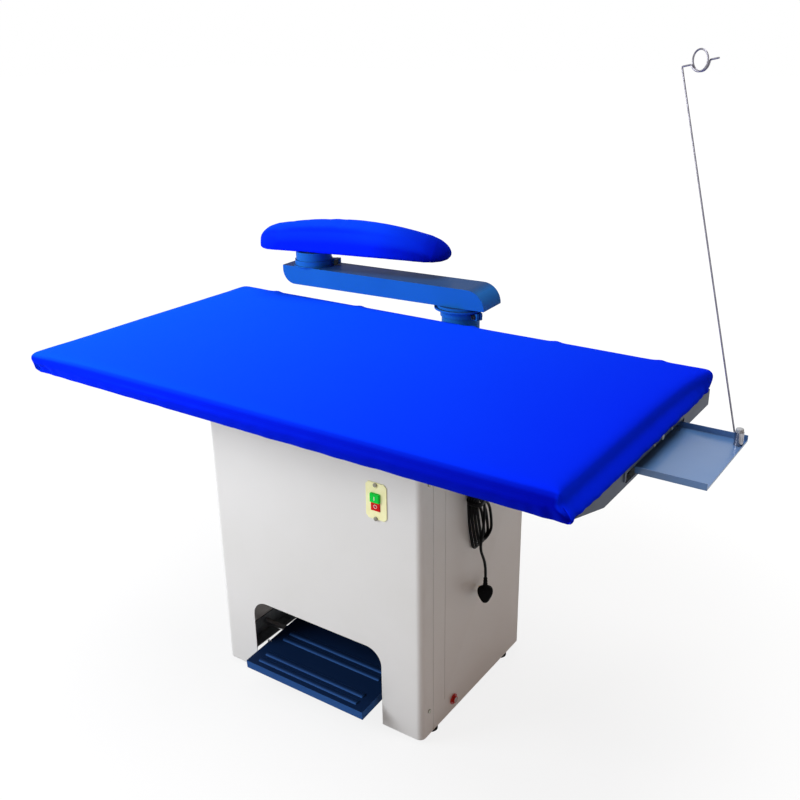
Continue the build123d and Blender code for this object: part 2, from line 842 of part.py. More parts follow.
def make_pedal_plate():
    x0 = pedal_left_x
    x1 = pedal_right_x
    top = pedal_height
    plate = block(x0, x1, -pedal_front, pedal_rear, top - pedal_lip, top)
    plate -= block(
        x0 + pedal_sheet, x1 - pedal_sheet, -pedal_front + pedal_sheet, pedal_rear - pedal_sheet,
        top - pedal_lip - 1, top - pedal_sheet,
    )
    ear = pedal_tube_r + 6
    plate += block(x0, x0 + pedal_sheet, -ear, ear, -pedal_tube_r, top)
    plate += block(x1 - pedal_sheet, x1, -ear, ear, -pedal_tube_r, top)
    plate += bar_x(x0, x1, 0, 0, pedal_tube_r)
    plate -= bar_x(x0 - 1, x1 + 1, 0, 0, bush_r)
    for y in pedal_rib_y:
        crest = top + pedal_rib_rise
        rib = bar_x(x0 + pedal_rib_side, x1 - pedal_rib_side, y, crest - pedal_rib_r, pedal_rib_r)
        plate += rib & block(x0, x1, y - pedal_rib_r, y + pedal_rib_r, top - pedal_sheet, crest)
    plate = at_pivot(plate, pedal_tilt)
    half = pedal_travel / 2
    arm = block(-lever_thk / 2, lever_thk / 2, 0, lever_r, -lever_wid / 2, lever_wid / 2)
    arm += Pos(0, lever_r, 0) * Rot(0, 90, 0) * Cylinder(lever_wid / 2, lever_thk)
    arm -= Rot(0, 90, 0) * Cylinder(bush_r, lever_thk + 2)
    pin = Pos(lever_thk / 2 + 4, lever_r, 0) * Rot(0, 90, 0) * Cylinder(link_pin_r, 8)
    place = Pos(pull_rod_x + lever_thk + 1, pivot_y, pivot_z) * Rot(-half, 0, 0)
    return plate + place * (arm + mirror(pin, about=Plane.YZ))


def make_pedal_bushes():
    left = bar_x(pedal_left_x, pedal_left_x + bush_len, pivot_y, pivot_z, bush_r)
    right = bar_x(pedal_right_x - bush_len, pedal_right_x, pivot_y, pivot_z, bush_r)
    bore = bar_x(pedal_left_x - 1, pedal_right_x + 1, pivot_y, pivot_z, axle_r + axle_fit)
    return group([left, right]) - bore


def make_pedal_axle():
    return bar_x(-half_wid, half_wid, pivot_y, pivot_z, axle_r)


def make_pivot_caps():
    caps = []
    for side in (-1, 1):
        face = side * half_wid
        rim = bar_x(face, face + side * 3, pivot_y, pivot_z, cap_r)
        caps.append(rim + bar_x(face, face + side * cap_h, pivot_y, pivot_z, axle_r + 1))
    return group(caps)


def spring_path():
    """A torsion spring round the axle: a long leg hooked over the pedal's edge, turns, a short leg."""
    x_leg = pedal_left_x - 5.0
    turn = 2 * math.pi * spring_coil_r
    slope = spring_pitch / turn
    hook_y = spring_hook_y
    stations = []
    over = at_plate(pedal_left_x + 7, hook_y, pedal_height + spring_wire_r + soft_gap)
    edge = at_plate(pedal_left_x - 1, hook_y, pedal_height + spring_wire_r + soft_gap)
    side = at_plate(x_leg, hook_y, pedal_height - 2)
    low = at_plate(x_leg, hook_y, pedal_height - 12)
    down = unit(low - side)
    inward = Vector(1, 0, 0)
    stations.append((over, inward * -1))
    stations.append((edge, inward * -1))
    stations.append((side, down))
    stations.append((at_plate(x_leg, hook_y + 10, pedal_height - 30), unit(Vector(0, 0.8, -0.6))))
    for i in range(spring_turns * 4 + 1):
        a = -math.pi / 2 + i * math.pi / 2
        place = Vector(
            x_leg - spring_pitch * i / 4,
            pivot_y + spring_coil_r * math.cos(a),
            pivot_z + spring_coil_r * math.sin(a),
        )
        tangent = unit(Vector(-slope, -math.sin(a), math.cos(a)))
        stations.append((place, tangent))
    end_place, end_way = stations[-1]
    stations.append((end_place + Vector(-3, 34, -6), unit(Vector(0, 1, -0.1))))
    return wire_through(stations)


def at_plate(x, y, z):
    """A place given in the pedal plate's own level frame, put at its resting tilt."""
    a = math.radians(pedal_tilt)
    return Vector(x, pivot_y + y * math.cos(a) - z * math.sin(a), pivot_z + y * math.sin(a) + z * math.cos(a))


def make_pedal_spring():
    path = spring_path()
    print("pedal spring least gap", round(least_gap(path, 2 * spring_wire_r), 2))
    return tube_along(path, spring_wire_r)


def slotted_end(z, up):
    """The rod's flattened end with a slot for a link pin at height z; up is the side of the rod."""
    x0 = pull_rod_x - lever_thk / 2
    x1 = pull_rod_x + lever_thk / 2
    reach = link_slot + link_wall
    ends = sorted((z - up * (link_pin_r + link_wall), z + up * (link_neck + 2)))
    plate = block(x0, x1, pull_rod_y - reach, pull_rod_y + reach, ends[0], ends[1])
    half_h = link_pin_r + link_free
    slot = block(x0 - 1, x1 + 1, pull_rod_y - link_slot, pull_rod_y + link_slot, z - half_h, z + half_h)
    return plate - slot


def lever_pin_z():
    return pivot_z - lever_r * math.sin(math.radians(pedal_travel / 2))


def crank_pin_z():
    return damper_z - crank_r / 2


def make_pull_rod():
    low = lever_pin_z()
    high = crank_pin_z()
    rod = post(pull_rod_x, pull_rod_y, low + link_neck, high - link_neck, pull_rod_r)
    return rod + slotted_end(low, 1) + slotted_end(high, -1)


# Suction line

def make_suction_duct():
    half = duct_side / 2
    duct = block(-half, half, -half, half, duct_low, duct_top)
    inner = half - duct_sheet
    duct -= block(-inner, inner, -inner, inner, duct_low + duct_sheet, duct_top + 1)
    rim = half + duct_flange
    duct += block(-rim, rim, -rim, rim, duct_top - 2, duct_top)
    duct -= block(-inner, inner, -inner, inner, duct_top - 3, duct_top + 1)
    duct -= post(0, 0, duct_low - 1, duct_low + duct_sheet + 1, fan_inlet_r)
    mouth = branch_wid / 2 - branch_sheet
    duct -= block(-mouth, mouth, inner - 1, half + 1, branch_low_z + branch_sheet, branch_top - branch_sheet)
    duct -= bar_x(-half - 1, half + 1, 0, damper_z, spindle_r + spindle_fit)
    return duct


def make_branch_duct():
    half = branch_wid / 2
    duct = block(-half, half, duct_side / 2, branch_end_y, branch_low_z, branch_top)
    duct -= block(
        -half + branch_sheet, half - branch_sheet, duct_side / 2 - 1, branch_end_y - branch_sheet,
        branch_low_z + branch_sheet, branch_top - branch_sheet,
    )
    return duct - post(0, post_y, branch_top - branch_sheet - 1, branch_top + 1, pipe_bore_r)


def make_damper_flap():
    inner = duct_side / 2 - duct_sheet - damper_gap
    flap = block(-inner, inner, -inner, inner, damper_z - damper_thk / 2, damper_z + damper_thk / 2)
    flap += bar_x(-inner, inner, 0, damper_z, spindle_r + 3)
    return flap - bar_x(-inner - 1, inner + 1, 0, damper_z, spindle_r)


def make_damper_spindle():
    x0 = pull_rod_x - lever_thk / 2 - 1 - lever_thk
    spindle = bar_x(x0, duct_side / 2 + 8, 0, damper_z, spindle_r)
    far = bar_x(duct_side / 2 + 1, duct_side / 2 + 4, 0, damper_z, spindle_r + 4)
    a = math.radians(210)
    pin_y = crank_r * math.cos(a)
    pin_z = damper_z + crank_r * math.sin(a)
    x1 = x0 + lever_thk
    crank = bar_x(x0, x1, 0, damper_z, spindle_r + 5) + bar_x(x0, x1, pin_y, pin_z, link_pin_r + 5)
    middle = Pos((x0 + x1) / 2, pin_y / 2, (damper_z + pin_z) / 2)
    web = middle * Rot(210, 0, 0) * Box(lever_thk, crank_r, 14)
    pin = bar_x(x1, pull_rod_x + lever_thk / 2 + 3, pin_y, pin_z, link_pin_r)
    return spindle + far + crank + web + pin


def make_fan_housing():
    z0 = fan_floor_z
    z1 = z0 + fan_h
    x1 = fan_r
    x0 = x1 - fan_outlet_wid
    y1 = half_dep - panel_sheet
    k0 = z0 + (fan_h - fan_outlet_h) / 2
    k1 = k0 + fan_outlet_h
    house = post(0, 0, z0, z1, fan_r) + block(x0, x1, 0, y1, k0, k1)
    house -= post(0, 0, z0 + fan_sheet, z1 - fan_sheet, fan_r - fan_sheet)
    house -= block(x0 + fan_sheet, x1 - fan_sheet, 0, y1 + 1, k0 + fan_sheet, k1 - fan_sheet)
    house -= post(0, 0, z1 - fan_sheet - 1, z1 + 1, fan_inlet_r)
    return house - post(0, 0, z0 - 1, z0 + fan_sheet + 1, shaft_hole_r)


def make_impeller():
    z0 = fan_floor_z + wheel_lift
    z1 = z0 + wheel_h
    wheel = post(0, 0, z0, z0 + wheel_sheet, wheel_r) + post(0, 0, z0, z0 + wheel_h / 2, wheel_hub_r)
    wheel += pipe(0, 0, z1 - wheel_sheet, z1, wheel_r, wheel_eye_r)
    for i in range(blade_count):
        blade = block(wheel_eye_r - 25, wheel_r - 1, -1.25, 1.25, z0 + 1, z1 - 1)
        wheel += Rot(0, 0, i * 360 / blade_count) * blade
    return wheel - post(0, 0, z0 - 1, z1 + 1, shaft_r)


def motor_span():
    top = fan_floor_z - shelf_thk
    return top - motor_h - motor_flange_thk, top


def make_motor_body():
    z0, z1 = motor_span()
    body = post(0, 0, z0, z1, motor_r) + post(0, 0, z1 - motor_flange_thk, z1, motor_flange_r)
    for i in range(12):
        body += Rot(0, 0, i * 30) * block(motor_r - 2, motor_r + 5, -2, 2, z0 + 12, z1 - motor_flange_thk)
    body -= post(0, 0, z0 + motor_wall, z1 - motor_wall, motor_r - motor_wall)
    body -= post(0, 0, z0 - 1, z1 + 1, shaft_r + shaft_fit)
    return body - drill_z(motor_bolt_places(), z1 - motor_flange_thk, z1, lug_bolt_r + bolt_free)


def motor_bolt_places():
    return on_circle(0, 0, motor_flange_r - 9, (45, 135, 225, 315))


def make_motor_shaft():
    z0, z1 = motor_span()
    shaft = post(0, 0, z0 - 6, fan_floor_z + wheel_lift + wheel_h / 2 + 8, shaft_r)
    mid = (z0 + z1) / 2
    return shaft + post(0, 0, mid - rotor_h / 2, mid + rotor_h / 2, motor_r - motor_wall - rotor_gap)


def make_fan_shelf():
    x1 = half_wid - panel_sheet
    z1 = fan_floor_z
    z0 = z1 - shelf_thk
    y = shelf_dep / 2
    shelf = block(-x1, x1, -y, y, z0, z1)
    shelf += block(-x1, -x1 + shelf_thk, -y, y, z0 - shelf_lip, z0)
    shelf += block(x1 - shelf_thk, x1, -y, y, z0 - shelf_lip, z0)
    shelf -= post(0, 0, z0 - 1, z1 + 1, shaft_hole_r)
    shelf -= post(pull_rod_x, pull_rod_y, z0 - 1, z1 + 1, pull_rod_r + 4)
    return shelf - drill_z(motor_bolt_places(), z0, z1, lug_bolt_r + bolt_free)


# Post and arm

def clamp_turn(x, y, azimuth):
    return Pos(x, y, 0) * Rot(0, 0, azimuth)


def split_clamp(x, y, z0, z1, r_in, wall, azimuth):
    """A clamp ring open at one side, with two lugs beside the split."""
    reach = r_in + wall + lug_len
    half_gap = lug_gap / 2
    ring = post(0, 0, z0, z1, r_in + wall)
    ring += block(r_in, reach, -half_gap - lug_thk, half_gap + lug_thk, z0, z1)
    ring -= post(0, 0, z0 - 1, z1 + 1, r_in)
    ring -= block(r_in - wall, reach + 1, -half_gap, half_gap, z0 - 1, z1 + 1)
    side = half_gap + lug_thk + 1
    ring -= bar_y(r_in + wall + lug_len / 2, -side, side, (z0 + z1) / 2, lug_bolt_r + bolt_free)
    return clamp_turn(x, y, azimuth) * ring


def lug_bolt(x, y, z, r_in, wall, azimuth):
    side = lug_gap / 2 + lug_thk
    out = r_in + wall + lug_len / 2
    bolt = bar_y(out, -side - 7, side + 6, z, lug_bolt_r)
    bolt += bar_y(out, -side - 6, -side, z, lug_head_r) + bar_y(out, side, side + 5, z, lug_head_r)
    return clamp_turn(x, y, azimuth) * bolt


def post_clamp_span():
    top = post_top_z - post_rim_thk - clamp_drop
    return top - clamp_h, top


def make_post_pipe():
    tube = post(0, post_y, branch_top, post_top_z, pipe_r)
    half = post_flange / 2
    tube += block(-half, half, post_y - half, post_y + half, branch_top, branch_top + post_flange_thk)
    tube += post(0, post_y, post_top_z - post_rim_thk, post_top_z, post_rim_r)
    tube -= post(0, post_y, branch_top - 1, post_top_z + 1, pipe_bore_r)
    return tube


def make_post_clamp():
    z0, z1 = post_clamp_span()
    return split_clamp(0, post_y, z0, z1, pipe_r, clamp_wall, clamp_azimuth)


def make_post_bracket():
    z1 = tub_top - 6
    z0 = z1 - bracket_h
    half = bracket_wid / 2
    plate = block(-half, half, tub_rear, tub_rear + bracket_thk, z0, z1)
    plate += block(-pipe_r - bracket_thk, pipe_r + bracket_thk, tub_rear, post_y + 10, z0, z1)
    plate -= block(-pipe_r, pipe_r, tub_rear + bracket_thk, post_y + 11, z0 - 1, z1 + 1)
    plate += pipe(0, post_y, z0, z1, pipe_r + bracket_thk, pipe_r)
    return plate - post(0, post_y, z0 - 1, z1 + 1, pipe_r)


def make_steel_bolts():
    """The hexagon bolts of the motor flange, the post clamp and the post bracket, all one size."""
    bolts = []
    z0, z1 = motor_span()
    for x, y in motor_bolt_places():
        bolts.append(
            post(x, y, z1 - motor_flange_thk - 5, z1 - motor_flange_thk, lug_head_r)
            + post(x, y, z1 - motor_flange_thk, fan_floor_z, lug_bolt_r)
        )
    c0, c1 = post_clamp_span()
    bolts.append(lug_bolt(0, post_y, (c0 + c1) / 2, pipe_r, clamp_wall, clamp_azimuth))
    z = tub_top - 6 - bracket_h / 2
    for x in (-bracket_wid / 2 + 10, bracket_wid / 2 - 10):
        bolts.append(bar_y(x, tub_rear + bracket_thk, tub_rear + bracket_thk + 5, z, lug_head_r))
    return group(bolts)


def arm_profile():
    """Side outline of the arm in its own frame: along it from the post, and up."""
    x0 = -arm_past_post
    x1 = arm_reach + arm_past_neck
    r0 = arm_round_post
    r1 = arm_round_neck
    k = 1 - math.sqrt(0.5)
    lines = Polyline((x0, arm_top - r0), (x0, arm_low), (x1 - r1, arm_low))
    curve1 = ThreePointArc((x1 - r1, arm_low), (x1 - r1 * k, arm_low + r1 * k), (x1, arm_low + r1))
    lines2 = Polyline((x1, arm_low + r1), (x1, arm_top), (x0 + r0, arm_top))
    curve2 = ThreePointArc((x0 + r0, arm_top), (x0 + r0 * k, arm_top - r0 * k), (x0, arm_top - r0))
    return make_face(lines.edges() + curve1.edges() + lines2.edges() + curve2.edges())


def at_arm(shape):
    return Pos(0, post_y, 0) * Rot(0, 0, arm_azimuth) * shape


def make_arm_body():
    profile = arm_profile()
    plane = Plane(origin=(0, arm_wid / 2, 0), x_dir=(1, 0, 0), z_dir=(0, -1, 0))
    outside = extrude(plane * profile, arm_wid)
    hollow = offset(profile, amount=-arm_wall, kind=Kind.INTERSECTION)
    plane = Plane(origin=(0, arm_wid / 2 - arm_wall, 0), x_dir=(1, 0, 0), z_dir=(0, -1, 0))
    arm = outside - extrude(plane * hollow, arm_wid - 2 * arm_wall)
    arm -= post(0, 0, arm_low - 1, arm_low + arm_wall + 1, pipe_bore_r)
    arm -= post(arm_reach, 0, arm_top - arm_wall - 1, arm_top + 1, neck_spigot_r + pipe_free)
    return at_arm(arm)


def make_arm_collar():
    collar = post(0, post_y, post_top_z + soft_gap, arm_low, collar_r)
    spigot_r = pipe_bore_r - pipe_fit
    low = post_top_z - spigot_depth
    high = arm_low + arm_wall
    collar += post(0, post_y, low, high, spigot_r)
    return collar - post(0, post_y, low - 1, high + 1, spigot_r - pipe_wall)


def make_neck_socket():
    z1 = arm_top + neck_flange_thk
    socket = pipe(neck_x, neck_y, arm_top, z1, neck_flange_r, neck_spigot_r + pipe_fit)
    z2 = z1 + neck_clamp_h
    r_in = pipe_r + pipe_free
    return socket + split_clamp(neck_x, neck_y, z1, z2, r_in, neck_clamp_wall, neck_clamp_azimuth)


def make_neck_bolts():
    mid = arm_top + neck_flange_thk + neck_clamp_h / 2
    return lug_bolt(neck_x, neck_y, mid, pipe_r + pipe_free, neck_clamp_wall, neck_clamp_azimuth)


def make_neck_pipe():
    low = arm_top - neck_tail
    seat = arm_top + neck_flange_thk + soft_gap
    spigot_bore = neck_spigot_r - pipe_wall
    tube = post(neck_x, neck_y, seat, neck_top, pipe_r) + post(neck_x, neck_y, low, seat, neck_spigot_r)
    ring_top = arm_top - arm_wall - 2
    tube += post(neck_x, neck_y, ring_top - neck_ring_h, ring_top, neck_spigot_r + neck_ring_out)
    tube -= post(neck_x, neck_y, low - 1, seat + pipe_wall, spigot_bore)
    tube -= post(neck_x, neck_y, seat + pipe_wall, neck_top - neck_plate, pipe_bore_r)
    tube -= post(neck_x, neck_y, neck_top - neck_plate - 1, neck_top + 1, buck_hole_r)
    return tube - drill_z(buck_bolt_places(), neck_top - neck_plate, neck_top, buck_bolt_r + bolt_free)


# Sleeve buck

def at_neck(shape):
    return Pos(neck_x, neck_y, 0) * Rot(0, 0, buck_azimuth) * shape


def buck_half(s, inset):
    """Half width of the buck at s along it, with both ends rounded off."""
    k = (s + buck_left) / (buck_left + buck_right)
    w = buck_half_left + (buck_half_right - buck_half_left) * k - inset
    return w * end_round(s, inset)


def end_round(s, inset):
    d = min(s + buck_left, buck_right - s) - inset
    if d >= buck_round:
        return 1.0
    return math.sqrt(max(0.0, 1 - ((buck_round - d) / buck_round) ** 2))


def buck_height(s, inset):
    k = (s + buck_left) / (buck_left + buck_right)
    h = buck_h_left + (buck_h_right - buck_h_left) * k + buck_crown * 4 * k * (1 - k)
    return h * (0.42 + 0.58 * end_round(s, inset)) - 2 * inset


def buck_section(s, inset):
    w = buck_half(s, inset)
    h = buck_height(s, inset)
    z0 = neck_top + inset
    base = Line((-w, 0), (w, 0))
    right = ThreePointArc((w, 0), (0.911 * w, 0.323 * h), (0.665 * w, 0.665 * h))
    crown = ThreePointArc((0.665 * w, 0.665 * h), (0, h), (-0.665 * w, 0.665 * h))
    left = ThreePointArc((-0.665 * w, 0.665 * h), (-0.911 * w, 0.323 * h), (-w, 0))
    face = make_face(base.edges() + right.edges() + crown.edges() + left.edges())
    return Plane(origin=(s, 0, z0), x_dir=(0, 1, 0), z_dir=(1, 0, 0)) * face


def buck_body(inset):
    near = (1.5, 6.0, 16.0, 34.0, 62.0)
    stations = [-buck_left + inset + d for d in near]
    stations += list(range(-80, 360, 40))
    stations += [buck_right - inset - d for d in reversed(near)]
    return at_neck(loft([buck_section(s, inset) for s in stations], ruled=True))


def buck_outline(inset, z0, z1):
    """A straight-sided plate of the buck's plan, drawn in by an inset."""
    steps = (2.0, 8.0, 20.0, 38.0, 60.0)
    along = [-buck_left + inset + d for d in steps] + [buck_right - inset - d for d in reversed(steps)]
    right = [(s, -buck_half(s, inset)) for s in along]
    left = [(s, buck_half(s, inset)) for s in reversed(along)]
    face = make_face(Polyline(*(right + left), close=True))
    return at_neck(extrude(Pos(0, 0, z0) * face, z1 - z0))


def make_buck_cover():
    mouth = buck_outline(buck_hem, neck_top - 1, neck_top + cover_thk + 1)
    return buck_body(0) - buck_body(cover_thk) - mouth


def buck_base_low():
    return neck_top + cover_thk + soft_gap


def make_buck_pad():
    top = buck_base_low() + buck_base_thk + soft_gap
    pocket = buck_outline(buck_base_inset - soft_gap, neck_top, top)
    return buck_body(cover_thk + soft_gap) - pocket


def buck_bolt_places():
    return on_circle(neck_x, neck_y, buck_bolt_pcd_r, (45, 135, 225, 315))


def make_buck_base():
    low = buck_base_low()
    base = buck_outline(buck_base_inset, low, low + buck_base_thk)
    base += post(neck_x, neck_y, neck_top, low, buck_boss_r)
    base -= post(neck_x, neck_y, neck_top - 1, low + buck_base_thk + 1, buck_hole_r)
    holes = [at_neck(post(s, 0, low - 1, low + buck_base_thk + 1, 6)) for s in range(60, 400, 40)]
    base -= group(holes)
    return base - drill_z(buck_bolt_places(), neck_top, low + buck_base_thk, buck_bolt_r + bolt_free)


def make_buck_bolts():
    z0 = neck_top - neck_plate
    z1 = buck_base_low() + buck_base_thk
    bolts = [post(x, y, z0 - 4, z0, 4.5) + post(x, y, z0, z1, buck_bolt_r) for x, y in buck_bolt_places()]
    return group(bolts)


# Switch

def make_switch_plate():
    y1 = -half_dep
    y0 = y1 - switch_plate_thk
    x0 = switch_x - switch_wid / 2
    x1 = switch_x + switch_wid / 2
    plate = block(x0, x1, y0, y1, switch_z - switch_h / 2, switch_z + switch_h / 2)
    plate = chamfer(plate.edges().filter_by(Axis.Y), switch_cut)
    half = button_wid / 2 + button_free
    plate -= block(
        button_x - half, button_x + half, y0 - 1, y1 + 1,
        green_low_z - button_h - button_free, green_low_z + button_h + button_free,
    )
    return plate - drill_y([(button_x, z) for z in switch_screw_z], y0, y1, screw_shank_r + bolt_free)


def make_switch_body():
    wall = switch_box_wall
    half = button_wid / 2 + 2
    y0 = -half_dep + panel_sheet
    y1 = y0 + switch_box_dep
    z0 = green_low_z - button_h - 2
    z1 = green_low_z + button_h + 2
    box = block(button_x - half - wall, button_x + half + wall, y0, y1, z0 - wall, z1 + wall)
    return box - block(button_x - half, button_x + half, y0 - 1, y1 - wall, z0, z1)


def button_blank(z0, out):
    y0 = -half_dep - switch_plate_thk - out
    half = button_wid / 2
    low = z0 + button_free / 2
    body = block(button_x - half, button_x + half, y0, y0 + button_deep, low, low + button_h - button_free)
    body = fillet(body.faces().sort_by(Axis.Y)[0].edges(), 1.2)
    return body, y0


def make_green_button():
    body, y0 = button_blank(green_low_z, button_out)
    z = green_low_z + button_h / 2
    return body - block(button_x - 1, button_x + 1, y0 - 1, y0 + 0.5, z - 5, z + 5)


def make_red_button():
    body, y0 = button_blank(green_low_z - button_h, button_out - button_travel)
    z = green_low_z - button_h / 2
    mark = bar_y(button_x, y0 - 1, y0 + 0.5, z, 5) - bar_y(button_x, y0 - 2, y0 + 1, z, 3.4)
    return body - mark


# Mains cord

def make_cord_inlet():
    """The right-angled strain relief on the side panel; the cord leaves it downward."""
    x0 = half_wid
    x1 = drop_route()[0][0] + cord_r + 4
    z1 = inlet_z + inlet_h / 2
    z0 = inlet_z - inlet_h / 2
    half = inlet_wid / 2
    body = block(x0, x1, inlet_y - half, inlet_y + half, z0, z1)
    body = fillet(body.edges().filter_by(Axis.Y).sort_by(Axis.Z)[-1], 9)
    body += block(x0, x0 + 3, inlet_y - half - 8, inlet_y + half + 8, z0 + 2, z1)
    return body


def drop_route():
    """The cord from the strain relief to the hank's first strand, points chosen along its hang."""
    end, way = hank_stations()[0]
    x0 = hank_start_x + 6
    z0 = inlet_z - inlet_h / 2
    return [
        (x0, inlet_y, z0),
        (x0, inlet_y, z0 - 14),
        (x0 - 2, inlet_y + 1.0, z0 - 31),
        (end.X, end.Y - way.Y * 16, end.Z - way.Z * 16),
        (end.X, end.Y, end.Z),
    ]


def tail_route():
    """The cord from the hank's last strand down to the plug's strain relief."""
    end, way = hank_stations()[-1]
    return [
        (end.X, end.Y, end.Z),
        (end.X + way.X * 15, end.Y + way.Y * 15, end.Z + way.Z * 15),
        (end.X - 0.2, end.Y + 21.5, end.Z - 38),
        (end.X - 0.4, end.Y + 27.6, end.Z - 60),
        (end.X - 0.8, end.Y + 30.6, end.Z - 77),
        (end.X - 0.8, end.Y + 30.6, end.Z - 91),
    ]


def cord_tube(name, route):
    """A tube of straight runs joined by tangent arcs as large as the runs allow."""
    points = [Vector(*p) for p in route]
    radii = []
    for a, b, c in zip(points, points[1:], points[2:]):
        turn = math.radians((b - a).get_angle(c - b))
        shorter = min((b - a).length, (c - b).length)
        radii.append(0.45 * shorter / math.tan(turn / 2))
    path = FilletPolyline(*points, radius=radii)
    tube = tube_along(path, cord_r)
    share = tube.volume / (math.pi * cord_r * cord_r * path.length)
    print(name, "radii", [round(r, 1) for r in radii])
    print(name, "length", round(path.length, 1), "volume share", round(share, 4))
    return tube


def hank_place(across, down, x):
    lean = math.radians(hank_lean)
    y = hank_top_y + down * math.sin(lean) + across * math.cos(lean)
    z = hank_top_z - down * math.cos(lean) + across * math.sin(lean)
    return Vector(x, y, z)


def hank_way(across, down):
    lean = math.radians(hank_lean)
    y = down * math.sin(lean) + across * math.cos(lean)
    z = across * math.sin(lean) - down * math.cos(lean)
    return unit(Vector(0, y, z))


def hank_stations():
    """The coiled cord: loops hung over the hook, drawn in at the waist, each climbing outward once."""
    stations = []
    x = hank_start_x
    start = hank_place(hank_waist, 26, x)
    way = hank_way(0, 1)
    stations.append((start, way))
    stations.append((start + way * cord_d, way))
    for k in range(hank_loops):
        fan = hank_fan * k
        last = k == hank_loops - 1
        stations.append((hank_place(hank_waist, hank_waist_at, x), hank_way(0, 1)))
        stations.append((hank_place(hank_belly + fan, hank_belly_at + 2 * k, x), hank_way(0, 1)))
        stations.append((hank_place(fan * 0.5, hank_len - 9 * k, x), hank_way(-1, 0)))
        stations.append((hank_place(-hank_belly + fan * 0.4, hank_belly_at, x), hank_way(0, -1)))
        x += hank_step
        stations.append((hank_place(-hank_waist, hank_waist_at, x), hank_way(0, -1)))
        stations.append((hank_place(-hank_waist, 20, x), hank_way(0, -1)))
        stations.append((hank_place(0, 0, x), hank_way(1, 0)))
        if not last:
            stations.append((hank_place(hank_waist, 20, x), hank_way(0, 1)))
    stations.append((hank_place(hank_waist, 24, x), hank_way(0, 1)))
    stations.append((hank_place(hank_waist - 3, hank_cross_at, x), hank_way(0, 1)))
    end = hank_place(hank_end_across, hank_end_at, x)
    rake = math.radians(hank_end_rake)
    out = Vector(0, math.sin(rake), -math.cos(rake))
    stations.append((end - out * cord_d, out))
    stations.append((end, out))
    return stations


def make_cord_hank():
    path = wire_through(hank_stations())
    print("hank length", round(path.length, 1), "least gap", round(least_gap(path, cord_d), 2))
    return tube_along(path, cord_r)


def make_cord_hook():
    seat = hank_place(0, cord_r + hook_gap + hook_r, 0)
    y = seat.Y
    z = seat.Z
    x0 = half_wid
    x1 = hank_start_x + hank_loops * hank_step + cord_r + hook_gap
    hook = bar_x(x0, x1 + 2 * hook_r, y, z, hook_r)
    hook += post(x1 + hook_r, y, z, z + hook_tip, hook_r)
    return hook + block(x0, x0 + 2.5, y - 12, y + 12, z - 20, z + 16)


def at_plug(shape):
    """A shape drawn about the cord's end, turned about the vertical as the plug hangs."""
    x, y, z = tail_route()[-1]
    return Pos(x, y, z) * Rot(0, 0, plug_azimuth) * shape


def make_plug():
    relief = Plane(origin=(0, 0, 0), z_dir=(0, 0, -1))
    neck = loft([relief * Circle(cord_r + 1.5), relief.offset(relief_len) * Circle(cord_r + 4)])
    top = -relief_len
    shoulder = 8.0
    face_top = Pos(0, 0, top) * Rectangle(plug_thk - 6, plug_wid - 14)
    face_full = Pos(0, 0, top - shoulder) * Rectangle(plug_thk, plug_wid)
    face_mid = Pos(0, 0, top - plug_h * 0.6) * Rectangle(plug_thk, plug_wid)
    face_toe = Pos(0, 0, top - plug_h) * Rectangle(plug_thk - 4, plug_toe)
    body = loft([face_top, face_full], ruled=True)
    body += loft([face_full, face_mid], ruled=True)
    body += loft([face_mid, face_toe], ruled=True)
    return at_plug(neck + body)


def make_plug_pins():
    face = -plug_thk / 2
    tip = face - plug_pin_len
    mid = -relief_len - plug_h * 0.6
    half = plug_pin_thk / 2
    far = plug_pin_out + plug_pin_wid
    pins = [block(tip, face, -half, half, mid - 12, mid - 12 + plug_earth_h)]
    pins.append(block(tip, face, -far, -plug_pin_out, mid + 6, mid + 6 + plug_pin_thk))
    pins.append(block(tip, face, plug_pin_out, far, mid + 6, mid + 6 + plug_pin_thk))
    return at_plug(group(pins))


